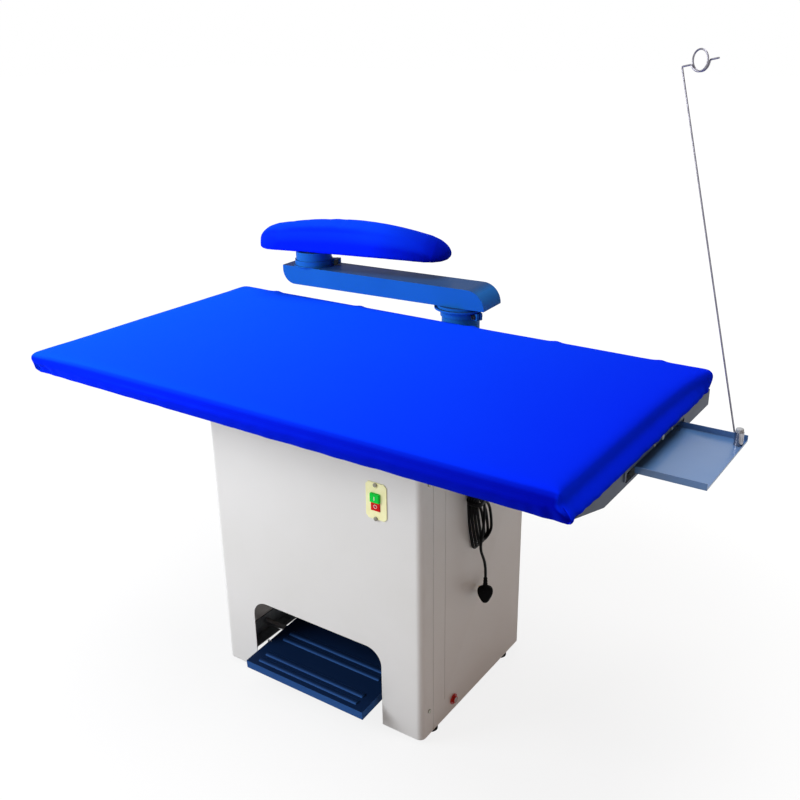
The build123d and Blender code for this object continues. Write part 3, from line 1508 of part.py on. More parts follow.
makers = {
    "board_cover": make_board_cover,
    "foam_pad": make_foam_pad,
    "perforated_deck": make_perforated_deck,
    "deck_bolts": make_deck_bolts,
    "suction_tub": make_suction_tub,
    "tray_bay": make_tray_bay,
    "slot_bolts": make_slot_bolts,
    "iron_tray": make_iron_tray,
    "sleeve_pin": make_sleeve_pin,
    "rod_sleeve": make_rod_sleeve,
    "sleeve_knob": make_sleeve_knob,
    "balance_rod": make_balance_rod,
    "front_panel": make_front_panel,
    "left_side_panel": make_left_side_panel,
    "right_side_panel": make_right_side_panel,
    "rear_panel": make_rear_panel,
    "base_frame": make_base_frame,
    "top_frame": make_top_frame,
    "rubber_feet": make_rubber_feet,
    "panel_screws": make_panel_screws,
    "pedal_plate": make_pedal_plate,
    "pedal_bushes": make_pedal_bushes,
    "pedal_axle": make_pedal_axle,
    "pivot_caps": make_pivot_caps,
    "pedal_spring": make_pedal_spring,
    "pull_rod": make_pull_rod,
    "suction_duct": make_suction_duct,
    "branch_duct": make_branch_duct,
    "damper_flap": make_damper_flap,
    "damper_spindle": make_damper_spindle,
    "fan_housing": make_fan_housing,
    "impeller": make_impeller,
    "motor_body": make_motor_body,
    "motor_shaft": make_motor_shaft,
    "fan_shelf": make_fan_shelf,
    "post_pipe": make_post_pipe,
    "post_clamp": make_post_clamp,
    "post_bracket": make_post_bracket,
    "steel_bolts": make_steel_bolts,
    "arm_body": make_arm_body,
    "arm_collar": make_arm_collar,
    "neck_socket": make_neck_socket,
    "neck_bolts": make_neck_bolts,
    "neck_pipe": make_neck_pipe,
    "buck_base": make_buck_base,
    "buck_pad": make_buck_pad,
    "buck_cover": make_buck_cover,
    "buck_bolts": make_buck_bolts,
    "switch_plate": make_switch_plate,
    "switch_body": make_switch_body,
    "green_button": make_green_button,
    "red_button": make_red_button,
    "cord_inlet": make_cord_inlet,
    "cord_hook": make_cord_hook,
    "plug": make_plug,
    "plug_pins": make_plug_pins,
}

for node, make in makers.items():
    export_step(make(), f"parts/{node}.step")

export_step(cord_tube("cord_drop", drop_route()), "parts/cord_drop.step")
export_step(make_cord_hank(), "parts/cord_hank.step")
export_step(cord_tube("cord_tail", tail_route()), "parts/cord_tail.step")
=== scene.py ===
# %% [markdown]
# Vacuum ironing table: the looks
#
# The table is a padded suction board on a painted steel cabinet, with a foot pedal, a swivelling
# sleeve buck, a sliding iron tray, a wire that carries the iron's lead, and a coiled mains cord.
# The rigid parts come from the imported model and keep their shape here. This file adds what a plain
# solid can't show: stretched cloth, flexible cord, a moulded plug, the marks on the buttons and
# every surface finish. Everything is in metres, with +Z up and the floor at zero.

import json
import math

import bmesh
import bpy
from mathutils import Matrix, Vector, noise

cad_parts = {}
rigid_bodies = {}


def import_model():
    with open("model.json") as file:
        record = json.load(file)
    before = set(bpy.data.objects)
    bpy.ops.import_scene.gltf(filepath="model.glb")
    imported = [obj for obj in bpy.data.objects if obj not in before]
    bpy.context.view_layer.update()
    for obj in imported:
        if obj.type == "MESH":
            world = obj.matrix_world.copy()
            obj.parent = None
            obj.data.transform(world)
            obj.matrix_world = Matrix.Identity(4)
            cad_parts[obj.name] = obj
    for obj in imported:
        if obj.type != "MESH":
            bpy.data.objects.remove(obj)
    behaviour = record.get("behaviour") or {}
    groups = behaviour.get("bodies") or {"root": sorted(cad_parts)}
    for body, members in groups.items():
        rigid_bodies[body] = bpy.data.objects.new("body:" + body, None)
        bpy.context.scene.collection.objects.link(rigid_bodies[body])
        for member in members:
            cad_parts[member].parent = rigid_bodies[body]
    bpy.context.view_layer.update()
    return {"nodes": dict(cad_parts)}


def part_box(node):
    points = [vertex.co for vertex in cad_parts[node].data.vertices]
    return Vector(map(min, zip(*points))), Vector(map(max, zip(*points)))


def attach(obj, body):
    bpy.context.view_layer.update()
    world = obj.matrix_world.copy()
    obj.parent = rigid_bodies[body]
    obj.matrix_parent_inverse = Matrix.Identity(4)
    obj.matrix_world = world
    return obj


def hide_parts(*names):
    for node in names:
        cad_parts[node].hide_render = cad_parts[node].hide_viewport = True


for old in list(bpy.data.objects):
    bpy.data.objects.remove(old)
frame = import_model()
solids = frame["nodes"]

# %% [markdown]
# The camera
#
# The picture was taken from the right of the table's front, a little above it. A camera needs a
# place, a direction and a lens. The direction is written as the axis that points back from the
# picture; the other two axes follow from it, and a roll of about half a degree tilts it as in the
# photo. Each new object is made and then linked to the scene, so one function does both.

# %% Camera
CAMERA_PLACE = (1.326, -1.7858, 1.629)
LENS_MM = 42.87
LENS_SHIFT = (-0.007, 0.0139)


def placed(name, data):
    """A new object that holds this data, linked to the scene."""
    made = bpy.data.objects.new(name, data)
    bpy.context.scene.collection.objects.link(made)
    return made


yaw = math.radians(34.17)
pitch = math.radians(22.13)
roll = math.radians(-0.62)
back = Vector((math.sin(yaw) * math.cos(pitch), -math.cos(yaw) * math.cos(pitch), math.sin(pitch)))
level = (-back).cross(Vector((0, 0, 1))).normalized()
upward = level.cross(-back)
rightward = level * math.cos(roll) + upward * math.sin(roll)
upright = upward * math.cos(roll) - level * math.sin(roll)
camera = placed("camera", bpy.data.cameras.new("camera"))
camera.location = CAMERA_PLACE
camera.rotation_mode = "QUATERNION"
camera.rotation_quaternion = Matrix((rightward, upright, back)).transposed().to_quaternion()
camera.data.lens = LENS_MM
camera.data.shift_x, camera.data.shift_y = LENS_SHIFT
bpy.context.scene.camera = camera
bpy.context.scene.view_settings.view_transform = "Standard"
print("camera: a lens of", LENS_MM, "mm", round(camera.location.length, 2), "m from the origin")

# %% [markdown]
# The mains cord
#
# A round black lead, 7 mm thick, leaves the cabinet's side downward through its strain relief. It is
# looped four times over a hook, and its last strand hangs to the plug. One spline makes the
# whole of it, because a real lead is one piece. A spline of order 3 touches the middle of every leg
# between its points, so two points at each fold make a round turn, and a few along each strand give
# it the narrow waist and the wide belly of a hank that was wound by hand.

# %% Hank of cord: its control points
HANK_TOP = Vector((0.326, -0.066, 0.676))
HANK_LEAN = math.radians(14.5)
LOOPS = 4
LOOP_STEP = 0.0076
LOOP_LENGTH, SHORTER = 0.238, 0.009
WAIST = 0.0115
BELLY = 0.021
WIDER_RIGHT, NARROWER_LEFT = 0.007, 0.0028
FOLD_SHARE = 0.86


def hank_point(aside, down, x):
    """A point of the leaning hank, aside of its middle and down from its top fold."""
    y = HANK_TOP.y + down * math.sin(HANK_LEAN) + aside * math.cos(HANK_LEAN)
    z = HANK_TOP.z - down * math.cos(HANK_LEAN) + aside * math.sin(HANK_LEAN)
    return Vector((x, y, z))


route = [Vector((0.332, -0.048, 0.718)), Vector((0.332, -0.048, 0.704)), Vector((0.330, -0.047, 0.687))]
x = HANK_TOP.x
route += [hank_point(WAIST, 0.010, x), hank_point(WAIST, 0.030, x)]
for loop in range(LOOPS):
    right = BELLY + WIDER_RIGHT * loop
    left = NARROWER_LEFT * loop - BELLY
    low = LOOP_LENGTH - SHORTER * loop
    if loop:
        route.append(hank_point(WAIST, 0.028, x))
    down_and_up = [(WAIST, 0.060), (WAIST, 0.092), (right, low - 0.084), (right, low - 0.036)]
    down_and_up += [(right * FOLD_SHARE, low), (left * FOLD_SHARE, low)]
    down_and_up += [(left, low - 0.036), (left, low - 0.084), (-WAIST, 0.092)]
    route += [hank_point(aside, down, x) for aside, down in down_and_up]
    x += LOOP_STEP
    over_the_hook = [(-WAIST, 0.060), (-WAIST, 0.028), (-WAIST, 0.0), (WAIST, 0.0)]
    route += [hank_point(aside, down, x) for aside, down in over_the_hook]
last_strand = [(WAIST, 0.028), (0.010, 0.075), (0.0085, 0.118), (-0.010, 0.170)]
route += [hank_point(aside, down, x) for aside, down in last_strand]
last = hank_point(-0.03447, 0.21316, x)
tail = [(0, -0.003, 0.006), (-0.0002, 0.0215, -0.038), (-0.0004, 0.0276, -0.060)]
tail += [(-0.0008, 0.0306, -0.077), (-0.0008, 0.0306, -0.091)]
route += [last + Vector(step) for step in tail]

# %% Cord
CORD_D = 0.007
curve = bpy.data.curves.new("mains_cord", "CURVE")
curve.dimensions = "3D"
curve.resolution_u = 10
curve.bevel_resolution = 4
# The cord's radius is set on its points and scales a bevel of 1, since Blender's box round a curve
# grows by the radius of its points.
curve.bevel_depth = 1.0
spline = curve.splines.new("NURBS")
spline.points.add(len(route) - 1)
for control, place in zip(spline.points, route):
    control.co = (*place, 1)
    control.radius = CORD_D / 2
spline.order_u = 3
spline.use_endpoint_u = True
cord = placed("mains_cord", curve)
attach(cord, "cabinet")
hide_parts("cord_drop", "cord_hank", "cord_tail")

# %% [markdown]
# Making meshes
#
# The pieces below are built point by point. `mesh_piece` turns points and faces into an object that
# rides on a body of the model. `loft` joins rings of points into a skin, which is how the plug, the
# cord tie and the bar on the start button are made. `squared` bends a circle's cosine and sine, so
# that a ring can be anything between a circle and a rounded box.

# %% Mesh helpers
RING_POINTS = 20


def mesh_piece(name, points, faces, body, smooth=True):
    """An object of these points and faces, carried by a body of the model."""
    data = bpy.data.meshes.new(name)
    data.from_pydata([tuple(p) for p in points], [], faces)
    data.validate()
    data.update()
    if smooth:
        data.shade_smooth()
    piece = placed(name, data)
    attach(piece, body)
    return piece


def loft(rings, closed_ends=True):
    """Points and faces of a skin over rings that have the same number of points."""
    count = len(rings[0])
    points = [p for ring in rings for p in ring]
    faces = []
    for r in range(len(rings) - 1):
        for i in range(count):
            j = (i + 1) % count
            faces.append((r * count + i, r * count + j, (r + 1) * count + j, (r + 1) * count + i))
    if closed_ends:
        faces.append(tuple(reversed(range(count))))
        faces.append(tuple(range((len(rings) - 1) * count, len(rings) * count)))
    return points, faces


def subdivide(piece, levels):
    """Smooth a piece by subdivision, in views and renders alike."""
    modifier = piece.modifiers.new("subdivision", "SUBSURF")
    modifier.levels = levels
    modifier.render_levels = levels


def squared(value, power):
    """A cosine or sine drawn towards 1 or -1 by a power below 1."""
    return math.copysign(abs(value) ** power, value)


def superellipse(z, half_x, half_y, power):
    """A level ring round the Z axis: an ellipse at power 2, and squarer above it."""
    ring = []
    for i in range(RING_POINTS):
        a = 2 * math.pi * i / RING_POINTS
        px = half_x * squared(math.cos(a), 2 / power)
        py = half_y * squared(math.sin(a), 2 / power)
        ring.append(Vector((px, py, z)))
    return ring


# %% [markdown]
# The plug
#
# A moulded rubber plug in the shape of a shield: wide shoulders under a ribbed strain relief, and a
# narrow toe. It could be a block with bevels, but moulded rubber has no flat face, so it is a loft
# of rounded rings smoothed by subdivision. It hangs turned, with its pins behind it, away from the
# camera.

# %% Plug and its ribbed relief
PLUG_TURN = math.radians(-56)
# Depth below the plug's top in metres, then half the width each way in millimetres, then squareness.
RELIEF = (
    (0.000, 4.4), (0.004, 5.6), (0.006, 4.4), (0.009, 4.6), (0.011, 6.0), (0.013, 4.8),
    (0.016, 5.0), (0.018, 6.4), (0.020, 5.4), (0.024, 6.6),
)
SHIELD = (
    (0.0265, 8.6, 11.4, 2.4), (0.030, 10.8, 17.4, 2.8), (0.036, 11.9, 19.8, 3.0), (0.044, 12.0, 19.6, 2.8),
    (0.054, 11.8, 16.4, 2.6), (0.064, 11.0, 10.8, 2.4), (0.0715, 9.0, 6.6, 2.2),
)
plug_low, plug_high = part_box("plug")
hang = Vector(((plug_low.x + plug_high.x) / 2, (plug_low.y + plug_high.y) / 2, plug_high.z))
rings = [superellipse(-down, r / 1000, r / 1000, 2) for down, r in RELIEF]
rings += [superellipse(-down, wide / 1000, deep / 1000, power) for down, wide, deep, power in SHIELD]
turn = Matrix.Rotation(PLUG_TURN, 3, "Z")
rings = [[hang + turn @ point for point in ring] for ring in rings]
plug = mesh_piece("plug_body", *loft(rings), "cabinet")
subdivide(plug, 1)
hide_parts("plug")
print("plug:", len(rings), "rings, hanging from a height of", round(hang.z, 3), "m")

# %% Tie round the hank
TIE_POINTS = 28
TIE_SQUARENESS = 0.55
END_SPARE = 0.0046
SIDE_SPARE = 0.0048


def band_ring(outset, down):
    """A rounded loop round all of the hank's strands, at one height of its waist."""
    x0 = HANK_TOP.x - END_SPARE - outset
    x1 = HANK_TOP.x + LOOPS * LOOP_STEP + END_SPARE + outset
    half_width = WAIST + SIDE_SPARE + outset
    ring = []
    for i in range(TIE_POINTS):
        a = 2 * math.pi * i / TIE_POINTS
        bx = (x0 + x1) / 2 + (x1 - x0) / 2 * squared(math.cos(a), TIE_SQUARENESS)
        ring.append(hank_point(half_width * squared(math.sin(a), TIE_SQUARENESS), down, bx))
    return ring


tie_rings = [band_ring(0, 0.083), band_ring(0.0008, 0.085), band_ring(0.0008, 0.094), band_ring(0, 0.096)]
tie = mesh_piece("cord_tie", *loft(tie_rings, closed_ends=False), "cabinet")
thickness = tie.modifiers.new("thickness", "SOLIDIFY")
thickness.thickness = 0.0012
thickness.offset = 1
print("cord tie:", len(tie_rings), "rings round", LOOPS, "loops")

# %% [markdown]
# The padded board
#
# The board is a steel deck under a felt pad, with a cloth cover pulled tight round its edges by a
# drawstring. Pulled cloth isn't flat: it swells a little between its edges, and it puckers at the
# corners, where there is too much of it. The swelling comes from Blender's cloth simulation: a
# rounded slab of cloth, made a few millimetres too large for the drawing in that follows, is blown
# up by pressure. What is too fine for the simulation is moved in by formulas afterwards: gathers at
# the corners, a worn roll along the front and right edges, and lumps where the cover is tied.

# %% Cloth under pressure
PRESSURE = 4.0
FRAMES = 20
CLOTH_STIFFNESS = 25


def applied(piece):
    """Replace the mesh by what its modifiers make of it."""
    bpy.context.view_layer.update()
    evaluated = piece.evaluated_get(bpy.context.evaluated_depsgraph_get())
    made = bpy.data.meshes.new_from_object(evaluated)
    piece.modifiers.clear()
    piece.data = made


def blow_up(piece, voxel, cap):
    """Remesh, swell as cloth under pressure, and keep every point within cap of where it began."""
    remesh = piece.modifiers.new("remesh", "REMESH")
    remesh.mode = "VOXEL"
    remesh.voxel_size = voxel
    applied(piece)
    start = [v.co.copy() for v in piece.data.vertices]
    cloth = piece.modifiers.new("cloth", "CLOTH")
    cloth.settings.quality = 4
    cloth.settings.use_pressure = True
    cloth.settings.uniform_pressure_force = PRESSURE
    cloth.settings.effector_weights.gravity = 0
    cloth.settings.tension_stiffness = CLOTH_STIFFNESS
    cloth.settings.compression_stiffness = CLOTH_STIFFNESS
    cloth.point_cache.frame_start = 1
    cloth.point_cache.frame_end = FRAMES
    scene = bpy.context.scene
    for frame_number in range(1, FRAMES + 1):
        scene.frame_set(frame_number)
    applied(piece)
    scene.frame_set(1)
    for vertex, origin in zip(piece.data.vertices, start):
        move = vertex.co - origin
        if move.length > cap:
            vertex.co = origin + move * (cap / move.length)
    return len(start)


def evened(piece, iterations):
    """Even out the steps that remeshing or moving has left."""
    modifier = piece.modifiers.new("evened", "SMOOTH")
    modifier.factor = 0.5
    modifier.iterations = iterations


def smoothstep(low, high, value):
    """A smooth rise from 0 at low to 1 at high."""
    t = min(1, max(0, (value - low) / (high - low)))
    return t * t * (3 - 2 * t)


# %% Board cover
SWELL = 0.008
HANG = 0.009
CORNER_ROUND = 0.022
RIM_ROUND = 0.013
VOXEL = 0.007
board_low, board_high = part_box("board_cover")
middle = (board_low + board_high) / 2
half = (board_high - board_low) / 2
form = bmesh.new()
bmesh.ops.create_cube(form, size=2)
for v in form.verts:
    v.co.x *= half.x + SWELL
    v.co.y *= half.y + SWELL
    v.co.z = v.co.z * (half.z + HANG / 2) - HANG / 2
corners = [e for e in form.edges if abs(e.verts[0].co.z - e.verts[1].co.z) > 0.01]
bmesh.ops.bevel(form, geom=corners, offset=CORNER_ROUND, segments=6, profile=0.5, affect="EDGES")
rims = [e for e in form.edges if abs(e.verts[0].co.z - e.verts[1].co.z) < 1e-5]
rims = [e for e in rims if {abs(f.normal.z) > 0.9 for f in e.link_faces} == {True, False}]
bmesh.ops.bevel(form, geom=rims, offset=RIM_ROUND, segments=4, profile=0.5, affect="EDGES")
for v in form.verts:
    v.co += middle
data = bpy.data.meshes.new("board_cloth")
form.to_mesh(data)
form.free()
board = placed("board_cloth", data)
count = blow_up(board, VOXEL, 0.003)
print("board cover:", count, "points of cloth")

# %% Hanging rim of the board cover: gathers, ruffles and the tuck
CORNER_REACH = 0.055
RIM_REACH = 0.014
GATHER_RATE = 150
GATHER, CORNER_IN, RUFFLE = 0.006, 0.006, 0.0022
FRONT_TUCK, SIDE_TUCK = 0.016, 0.002
HEM_WAVE = 0.003
LEFT_LIFT = 0.525 * HANG


def rim_move(p, across, gap, drop):
    """How the cover's rim moves at p: in and out along the side it hangs from, and up at its hem."""
    long_side = gap.y < gap.x
    along = p.x if long_side else p.y
    if long_side:
        outward = Vector((0, math.copysign(1, across.y), 0))
    else:
        outward = Vector((math.copysign(1, across.x), 0, 0))
    near = math.exp(-(max(gap.x, 0) + max(gap.y, 0)) / CORNER_REACH)
    rim = math.exp(-max(0, min(gap)) / RIM_REACH) * drop
    gathers = math.sin(along * GATHER_RATE + 3 * noise.noise(Vector((along * 9, 0, 5)))) * near
    ruffle = noise.noise(Vector((along * 26, p.z * 10, 3)))
    tuck = FRONT_TUCK if long_side and across.y < 0 else SIDE_TUCK
    move = outward * (rim * (GATHER * gathers - CORNER_IN * near + RUFFLE * ruffle - tuck * drop))
    if p.z < middle.z:
        wave = noise.noise(Vector((along * 17, 0, 11)))
        move.z += rim * (HEM_WAVE * wave + LEFT_LIFT * smoothstep(0.2, -0.7, p.x))
    return move


# %% Rolled edges and tie lumps of the board cover
FRONT_ROLL, RIGHT_ROLL, ROLL_DOWN = 0.020, 0.030, 0.006
ROLL_REACH = 0.045
ROLL_FADE = 0.10
LUMPS = (-0.62, -0.30, 0.08, 0.33, 0.61)
LUMP_HEIGHT, LUMP_WIDTH, LUMP_REACH = 0.0045, 0.011, 0.012


def roll_move(across, drop):
    """The pad's front and right edges are worn round, so their upper part moves in and down."""
    from_left = 1 - math.exp(-max(0, half.x + across.x) / ROLL_FADE)
    from_rear = 1 - math.exp(-max(0, half.y - across.y) / ROLL_FADE)
    front = math.exp(-max(0, half.y + across.y) / ROLL_REACH) * from_left
    right = math.exp(-max(0, half.x - across.x) / ROLL_REACH) * from_rear
    down = ROLL_DOWN * max(front, right) ** 2
    return Vector((-RIGHT_ROLL * right, FRONT_ROLL * front, -down)) * (1 - drop)


def lump_move(p, gap, drop):
    """The knots of the ties lift the cloth along the rear edge."""
    lump = sum(math.exp(-((p.x - at) / LUMP_WIDTH) ** 2) for at in LUMPS)
    return Vector((0, 0.5, 1)) * (LUMP_HEIGHT * lump * math.exp(-abs(gap.y) / LUMP_REACH) * (1 - drop))


# %% Move the board cover's points
DENT = 0.0010
TUB_MARGIN = 0.002
TUB_GAP = 0.0004
tub_low, tub_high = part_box("suction_tub")
for v in board.data.vertices:
    p = v.co.copy()
    across = Vector((p.x - middle.x, p.y - middle.y))
    gap = Vector((half.x - abs(across.x), half.y - abs(across.y)))
    drop = smoothstep(board_high.z - 0.014, board_low.z + 0.004, p.z)
    v.co = p + rim_move(p, across, gap, drop) + roll_move(across, drop)
    if across.y > 0 and gap.y < gap.x:
        v.co += lump_move(p, gap, drop)
    dents = noise.noise(Vector((p.x * 3.1, p.y * 3.7, 8)))
    v.co.z += DENT * dents * smoothstep(middle.z, board_high.z, p.z)
    if all(tub_low[i] - TUB_MARGIN < v.co[i] < tub_high[i] + TUB_MARGIN for i in (0, 1)):
        v.co.z = max(v.co.z, tub_high.z + TUB_GAP)
evened(board, 3)
subdivide(board, 1)
board.data.shade_smooth()
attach(board, "cabinet")
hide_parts("board_cover", "foam_pad")
print("board cover hangs to", round(min(v.co.z for v in board.data.vertices), 3), "m")

# %% [markdown]
# The sleeve buck's cover
#
# The buck is a narrow pad for sleeves and collars. It has the same cloth over a domed felt pad, so
# its shape starts from the model's pad, which is then remeshed finely and blown up like the board.
# Smoothing takes out the steps of the remesh but shrinks the pad a little, so its points are then
# pushed back out. The skirt round its lower edge waves, because nothing stretches it there.

# %% Buck cover
BUCK_VOXEL = 0.004
PUSHED_OUT = 0.0015
SKIRT_HIGH, SKIRT_LOW = 0.022, 0.002
SKIRT_WAVE = 0.0012
buck = placed("buck_cloth", solids["buck_pad"].data.copy())
count = blow_up(buck, BUCK_VOXEL, 0.0035)
evened(buck, 6)
applied(buck)
for v in buck.data.vertices:
    v.co += v.normal * PUSHED_OUT
buck_low, buck_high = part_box("buck_cover")
centre = (buck_low + buck_high) / 2
for v in buck.data.vertices:
    p = v.co
    skirt = smoothstep(buck_low.z + SKIRT_HIGH, buck_low.z + SKIRT_LOW, p.z)
    p.z -= SKIRT_WAVE * skirt
    wave = noise.noise(Vector((p.x * 34, p.y * 34, 2.0)))
    outward = Vector((p.x - centre.x, p.y - centre.y, 0)).normalized()
    v.co += outward * wave * SKIRT_WAVE * skirt
    v.co.z = max(v.co.z, buck_low.z + 0.0002)
subdivide(buck, 1)
buck.data.shade_smooth()
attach(buck, "buck")
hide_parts("buck_cover", "buck_pad")
print("buck cover:", count, "points of cloth")

# %% [markdown]
# Marks on the buttons
#
# The start button has an upright bar and the stop button a ring. On a real switch they are white
# plastic pressed into a groove, so each is a thin piece that lies in the groove of its button.

# %% Bar and ring
MARK_BACK, MARK_FRONT = 0.0005, 0.00005
BAR_HALF_WIDTH, BAR_HALF_HEIGHT = 0.0009, 0.0048
RING_INNER, RING_OUTER = 0.0036, 0.0048
RING_STEPS = 32


def front_face(node):
    """The middle of a node's front in X and Z, and the Y of its front."""
    low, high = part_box(node)
    return (low.x + high.x) / 2, low.y, (low.z + high.z) / 2


bx, face, bz = front_face("green_button")
bar = []
for y in (face + MARK_BACK, face + MARK_FRONT):
    sides = ((-1, -1), (1, -1), (1, 1), (-1, 1))
    bar.append([Vector((bx + sx * BAR_HALF_WIDTH, y, bz + sz * BAR_HALF_HEIGHT)) for sx, sz in sides])
mark_on = mesh_piece("mark_on", *loft(bar), "start_button", smooth=False)
bx, face, bz = front_face("red_button")
section = (
    (RING_INNER, face + MARK_BACK), (RING_INNER, face + MARK_FRONT),
    (RING_OUTER, face + MARK_FRONT), (RING_OUTER, face + MARK_BACK),
)
points, faces = [], []
for i in range(RING_STEPS):
    a = 2 * math.pi * i / RING_STEPS
    points += [Vector((bx + r * math.cos(a), y, bz + r * math.sin(a))) for r, y in section]
    j = (i + 1) % RING_STEPS
    faces += [(4 * i + k, 4 * i + (k + 1) % 4, 4 * j + (k + 1) % 4, 4 * j + k) for k in range(4)]
mark_off = mesh_piece("mark_off", points, faces, "stop_button")
print("marks: a bar of", len(mark_on.data.polygons), "faces and a ring of", len(faces))

# %% [markdown]
# Finishes
#
# Each finish below is a small network of nodes. Colours are written as the sRGB code that an eye
# would pick, and one function turns them into the linear values that light is computed with.
# Another adds a node; it links to the first output of the node it is given, or to a named output.
# Patterns take their place from object coordinates, which are metres on every part here, so a
# pattern's scale can be worked out from a real size: a noise of scale 100 has features about
# 10 mm across, and a wave of scale 0.314 / d repeats every d metres.

# %% Colour, node and finish helpers
def linear(code):
    """An sRGB hex code as linear red, green, blue and a full alpha."""
    parts = [int(code[i:i + 2], 16) / 255 for i in (0, 2, 4)]
    return [c / 12.92 if c <= 0.04045 else ((c + 0.055) / 1.055) ** 2.4 for c in parts] + [1]


def add(tree, kind, settings=None, links=None):
    """Add one node, set its properties and input values, and link its inputs."""
    made = tree.nodes.new(kind)
    for name, value in (settings or {}).items():
        if isinstance(name, str) and hasattr(made, name):
            setattr(made, name, value)
        else:
            made.inputs[name].default_value = value
    for name, source in (links or {}).items():
        tree.links.new(source.outputs[0] if hasattr(source, "outputs") else source, made.inputs[name])
    return made


def new_finish(name, **sockets):
    """A material with one Principled shader, its sockets set, and object coordinates to hand."""
    finish = bpy.data.materials.new(name)
    finish.use_nodes = True
    tree = finish.node_tree
    tree.nodes.clear()
    shader = add(tree, "ShaderNodeBsdfPrincipled", {k.replace("_", " "): v for k, v in sockets.items()})
    add(tree, "ShaderNodeOutputMaterial", None, {"Surface": shader})
    place = add(tree, "ShaderNodeTexCoord").outputs["Object"]
    return finish, tree, shader, place


def shader_of(finish):
    """The Principled shader of a finish that is made already."""
    return next(node for node in finish.node_tree.nodes if node.type == "BSDF_PRINCIPLED")


def two_tones(tree, factor, first, second, low=0.35, high=0.65):
    """Blend two colours as a factor goes from low to high."""
    ramp = add(tree, "ShaderNodeValToRGB", None, {"Fac": factor})
    for stop, position, code in zip(ramp.color_ramp.elements, (low, high), (first, second)):
        stop.position = position
        stop.color = linear(code)
    return ramp.outputs["Color"]


def relief_on(tree, shader, height, distance, strength=1.0, normal=None):
    """Give a shader fine relief from a pattern, on top of a rounded edge's normal if there is one."""
    links = {"Height": height}
    if normal:
        links["Normal"] = normal
    bump = add(tree, "ShaderNodeBump", {"Distance": distance, "Strength": strength}, links)
    tree.links.new(bump.outputs["Normal"], shader.inputs["Normal"])


# %% [markdown]
# The cover cloth
#
# Polyester cloth, woven, with a strong royal blue dye. A weave is two sets of threads that cross:
# two waves at right angles, one along each direction. The real threads are 0.4 mm apart, too fine to
# show, so they are drawn 1.6 mm apart. Light and shade are painted into the blue: the face that is
# ironed on and the end towards the iron tray are painted paler than the other sides, as if lit, and
# the blue is painted brightest at the left end of the table and darker towards the right, as the
# light falls off. So two pairs of blues run along the table, a lit one for the face and a shaded one
# for the sides, and the direction in which a point faces chooses between them. Cloth is matt, with a
# faint sheen from the fibres that stand up from it.

# %% Woven polyester
THREAD = 0.0016
CLOUD = 0.1


def woven_cover(name, faces, sides, brightest_x, darkest_x):
    """Cloth with painted light: lit face and shaded side blues go from first to second between two X places.
    """
    finish, tree, shader, place = new_finish(
        name, Roughness=0.9, Specular_IOR_Level=0.02, Sheen_Weight=0.08, Sheen_Roughness=0.45,
    )
    shader.inputs["Sheen Tint"].default_value = linear("0890FF")
    here = {"Vector": place}
    bands = {"wave_type": "BANDS", "Scale": 0.314 / THREAD, "Distortion": 0.6, "Detail": 1.0}
    warp = add(tree, "ShaderNodeTexWave", bands | {"bands_direction": "X"}, here).outputs["Fac"]
    weft = add(tree, "ShaderNodeTexWave", bands | {"bands_direction": "Y"}, here).outputs["Fac"]
    weave = add(tree, "ShaderNodeMath", {"operation": "MAXIMUM"}, {0: warp, 1: weft})
    clouds = add(tree, "ShaderNodeTexNoise", {"Scale": 3, "Detail": 2}, here)
    # Painted light: the blues run from bright at the left end to darker at the right, as the light falls
    # off.
    length_way = add(tree, "ShaderNodeSeparateXYZ", None, {0: place}).outputs["X"]
    drift = add(tree, "ShaderNodeMath", {"operation": "MULTIPLY_ADD", 1: CLOUD}, {0: clouds, 2: length_way})
    ends = {"From Min": brightest_x + CLOUD / 2, "From Max": darkest_x + CLOUD / 2}
    span = add(tree, "ShaderNodeMapRange", ends, {"Value": drift})
    lit_face_blue = two_tones(tree, span, *faces, 0.0, 1.0)
    shaded_side_blue = two_tones(tree, span, *sides, 0.0, 1.0)
    # Painted light and shade: faces that look up or to the right take the lit face blue, the others the
    # shaded side blue.
    turned = add(tree, "ShaderNodeNewGeometry").outputs["Normal"]
    split = add(tree, "ShaderNodeSeparateXYZ", None, {0: turned})
    east = add(tree, "ShaderNodeMath", {"operation": "MAXIMUM", 1: 0.0}, {0: split.outputs["X"]})
    rise = add(tree, "ShaderNodeMath", {"operation": "ADD"}, {0: east, 1: split.outputs["Z"]})
    band = {"interpolation_type": "SMOOTHSTEP", "From Min": 0.35, "From Max": 0.99}
    painted_light_share = add(tree, "ShaderNodeMapRange", band, {"Value": rise})
    blues = {"Factor": painted_light_share, 6: shaded_side_blue, 7: lit_face_blue}
    blue_with_painted_light = add(tree, "ShaderNodeMix", {"data_type": "RGBA"}, blues).outputs[2]
    shade = add(tree, "ShaderNodeMapRange", {"To Min": 0.9, "To Max": 1.0}, {"Value": weave})
    darken = {"data_type": "RGBA", "blend_type": "MULTIPLY", "Factor": 1.0}
    dyed_and_lit = add(tree, "ShaderNodeMix", darken, {6: blue_with_painted_light, 7: shade})
    tree.links.new(dyed_and_lit.outputs[2], shader.inputs["Base Color"])
    fuzz = add(tree, "ShaderNodeTexNoise", {"Scale": 260, "Detail": 2}, here)
    height = add(tree, "ShaderNodeMath", {"operation": "MULTIPLY_ADD", 1: 0.5}, {0: fuzz, 2: weave})
    relief_on(tree, shader, height, 0.00022, 0.55)
    return finish


# The board's blues are painted brightest at its left end; the buck's are painted darker towards its right
# end, which is in shade.
board_cloth = woven_cover(
    "woven_polyester_royal_blue", ("0650FF", "001EEC"), ("0022FF", "0004A2"), -0.73, 0.75,
)
buck_cloth = woven_cover(
    "woven_polyester_buck_painted_light", ("0640FF", "0014C0"), ("0428FF", "000894"), -0.30, -0.10,
)
print("cloths:", board_cloth.name, "and", buck_cloth.name)

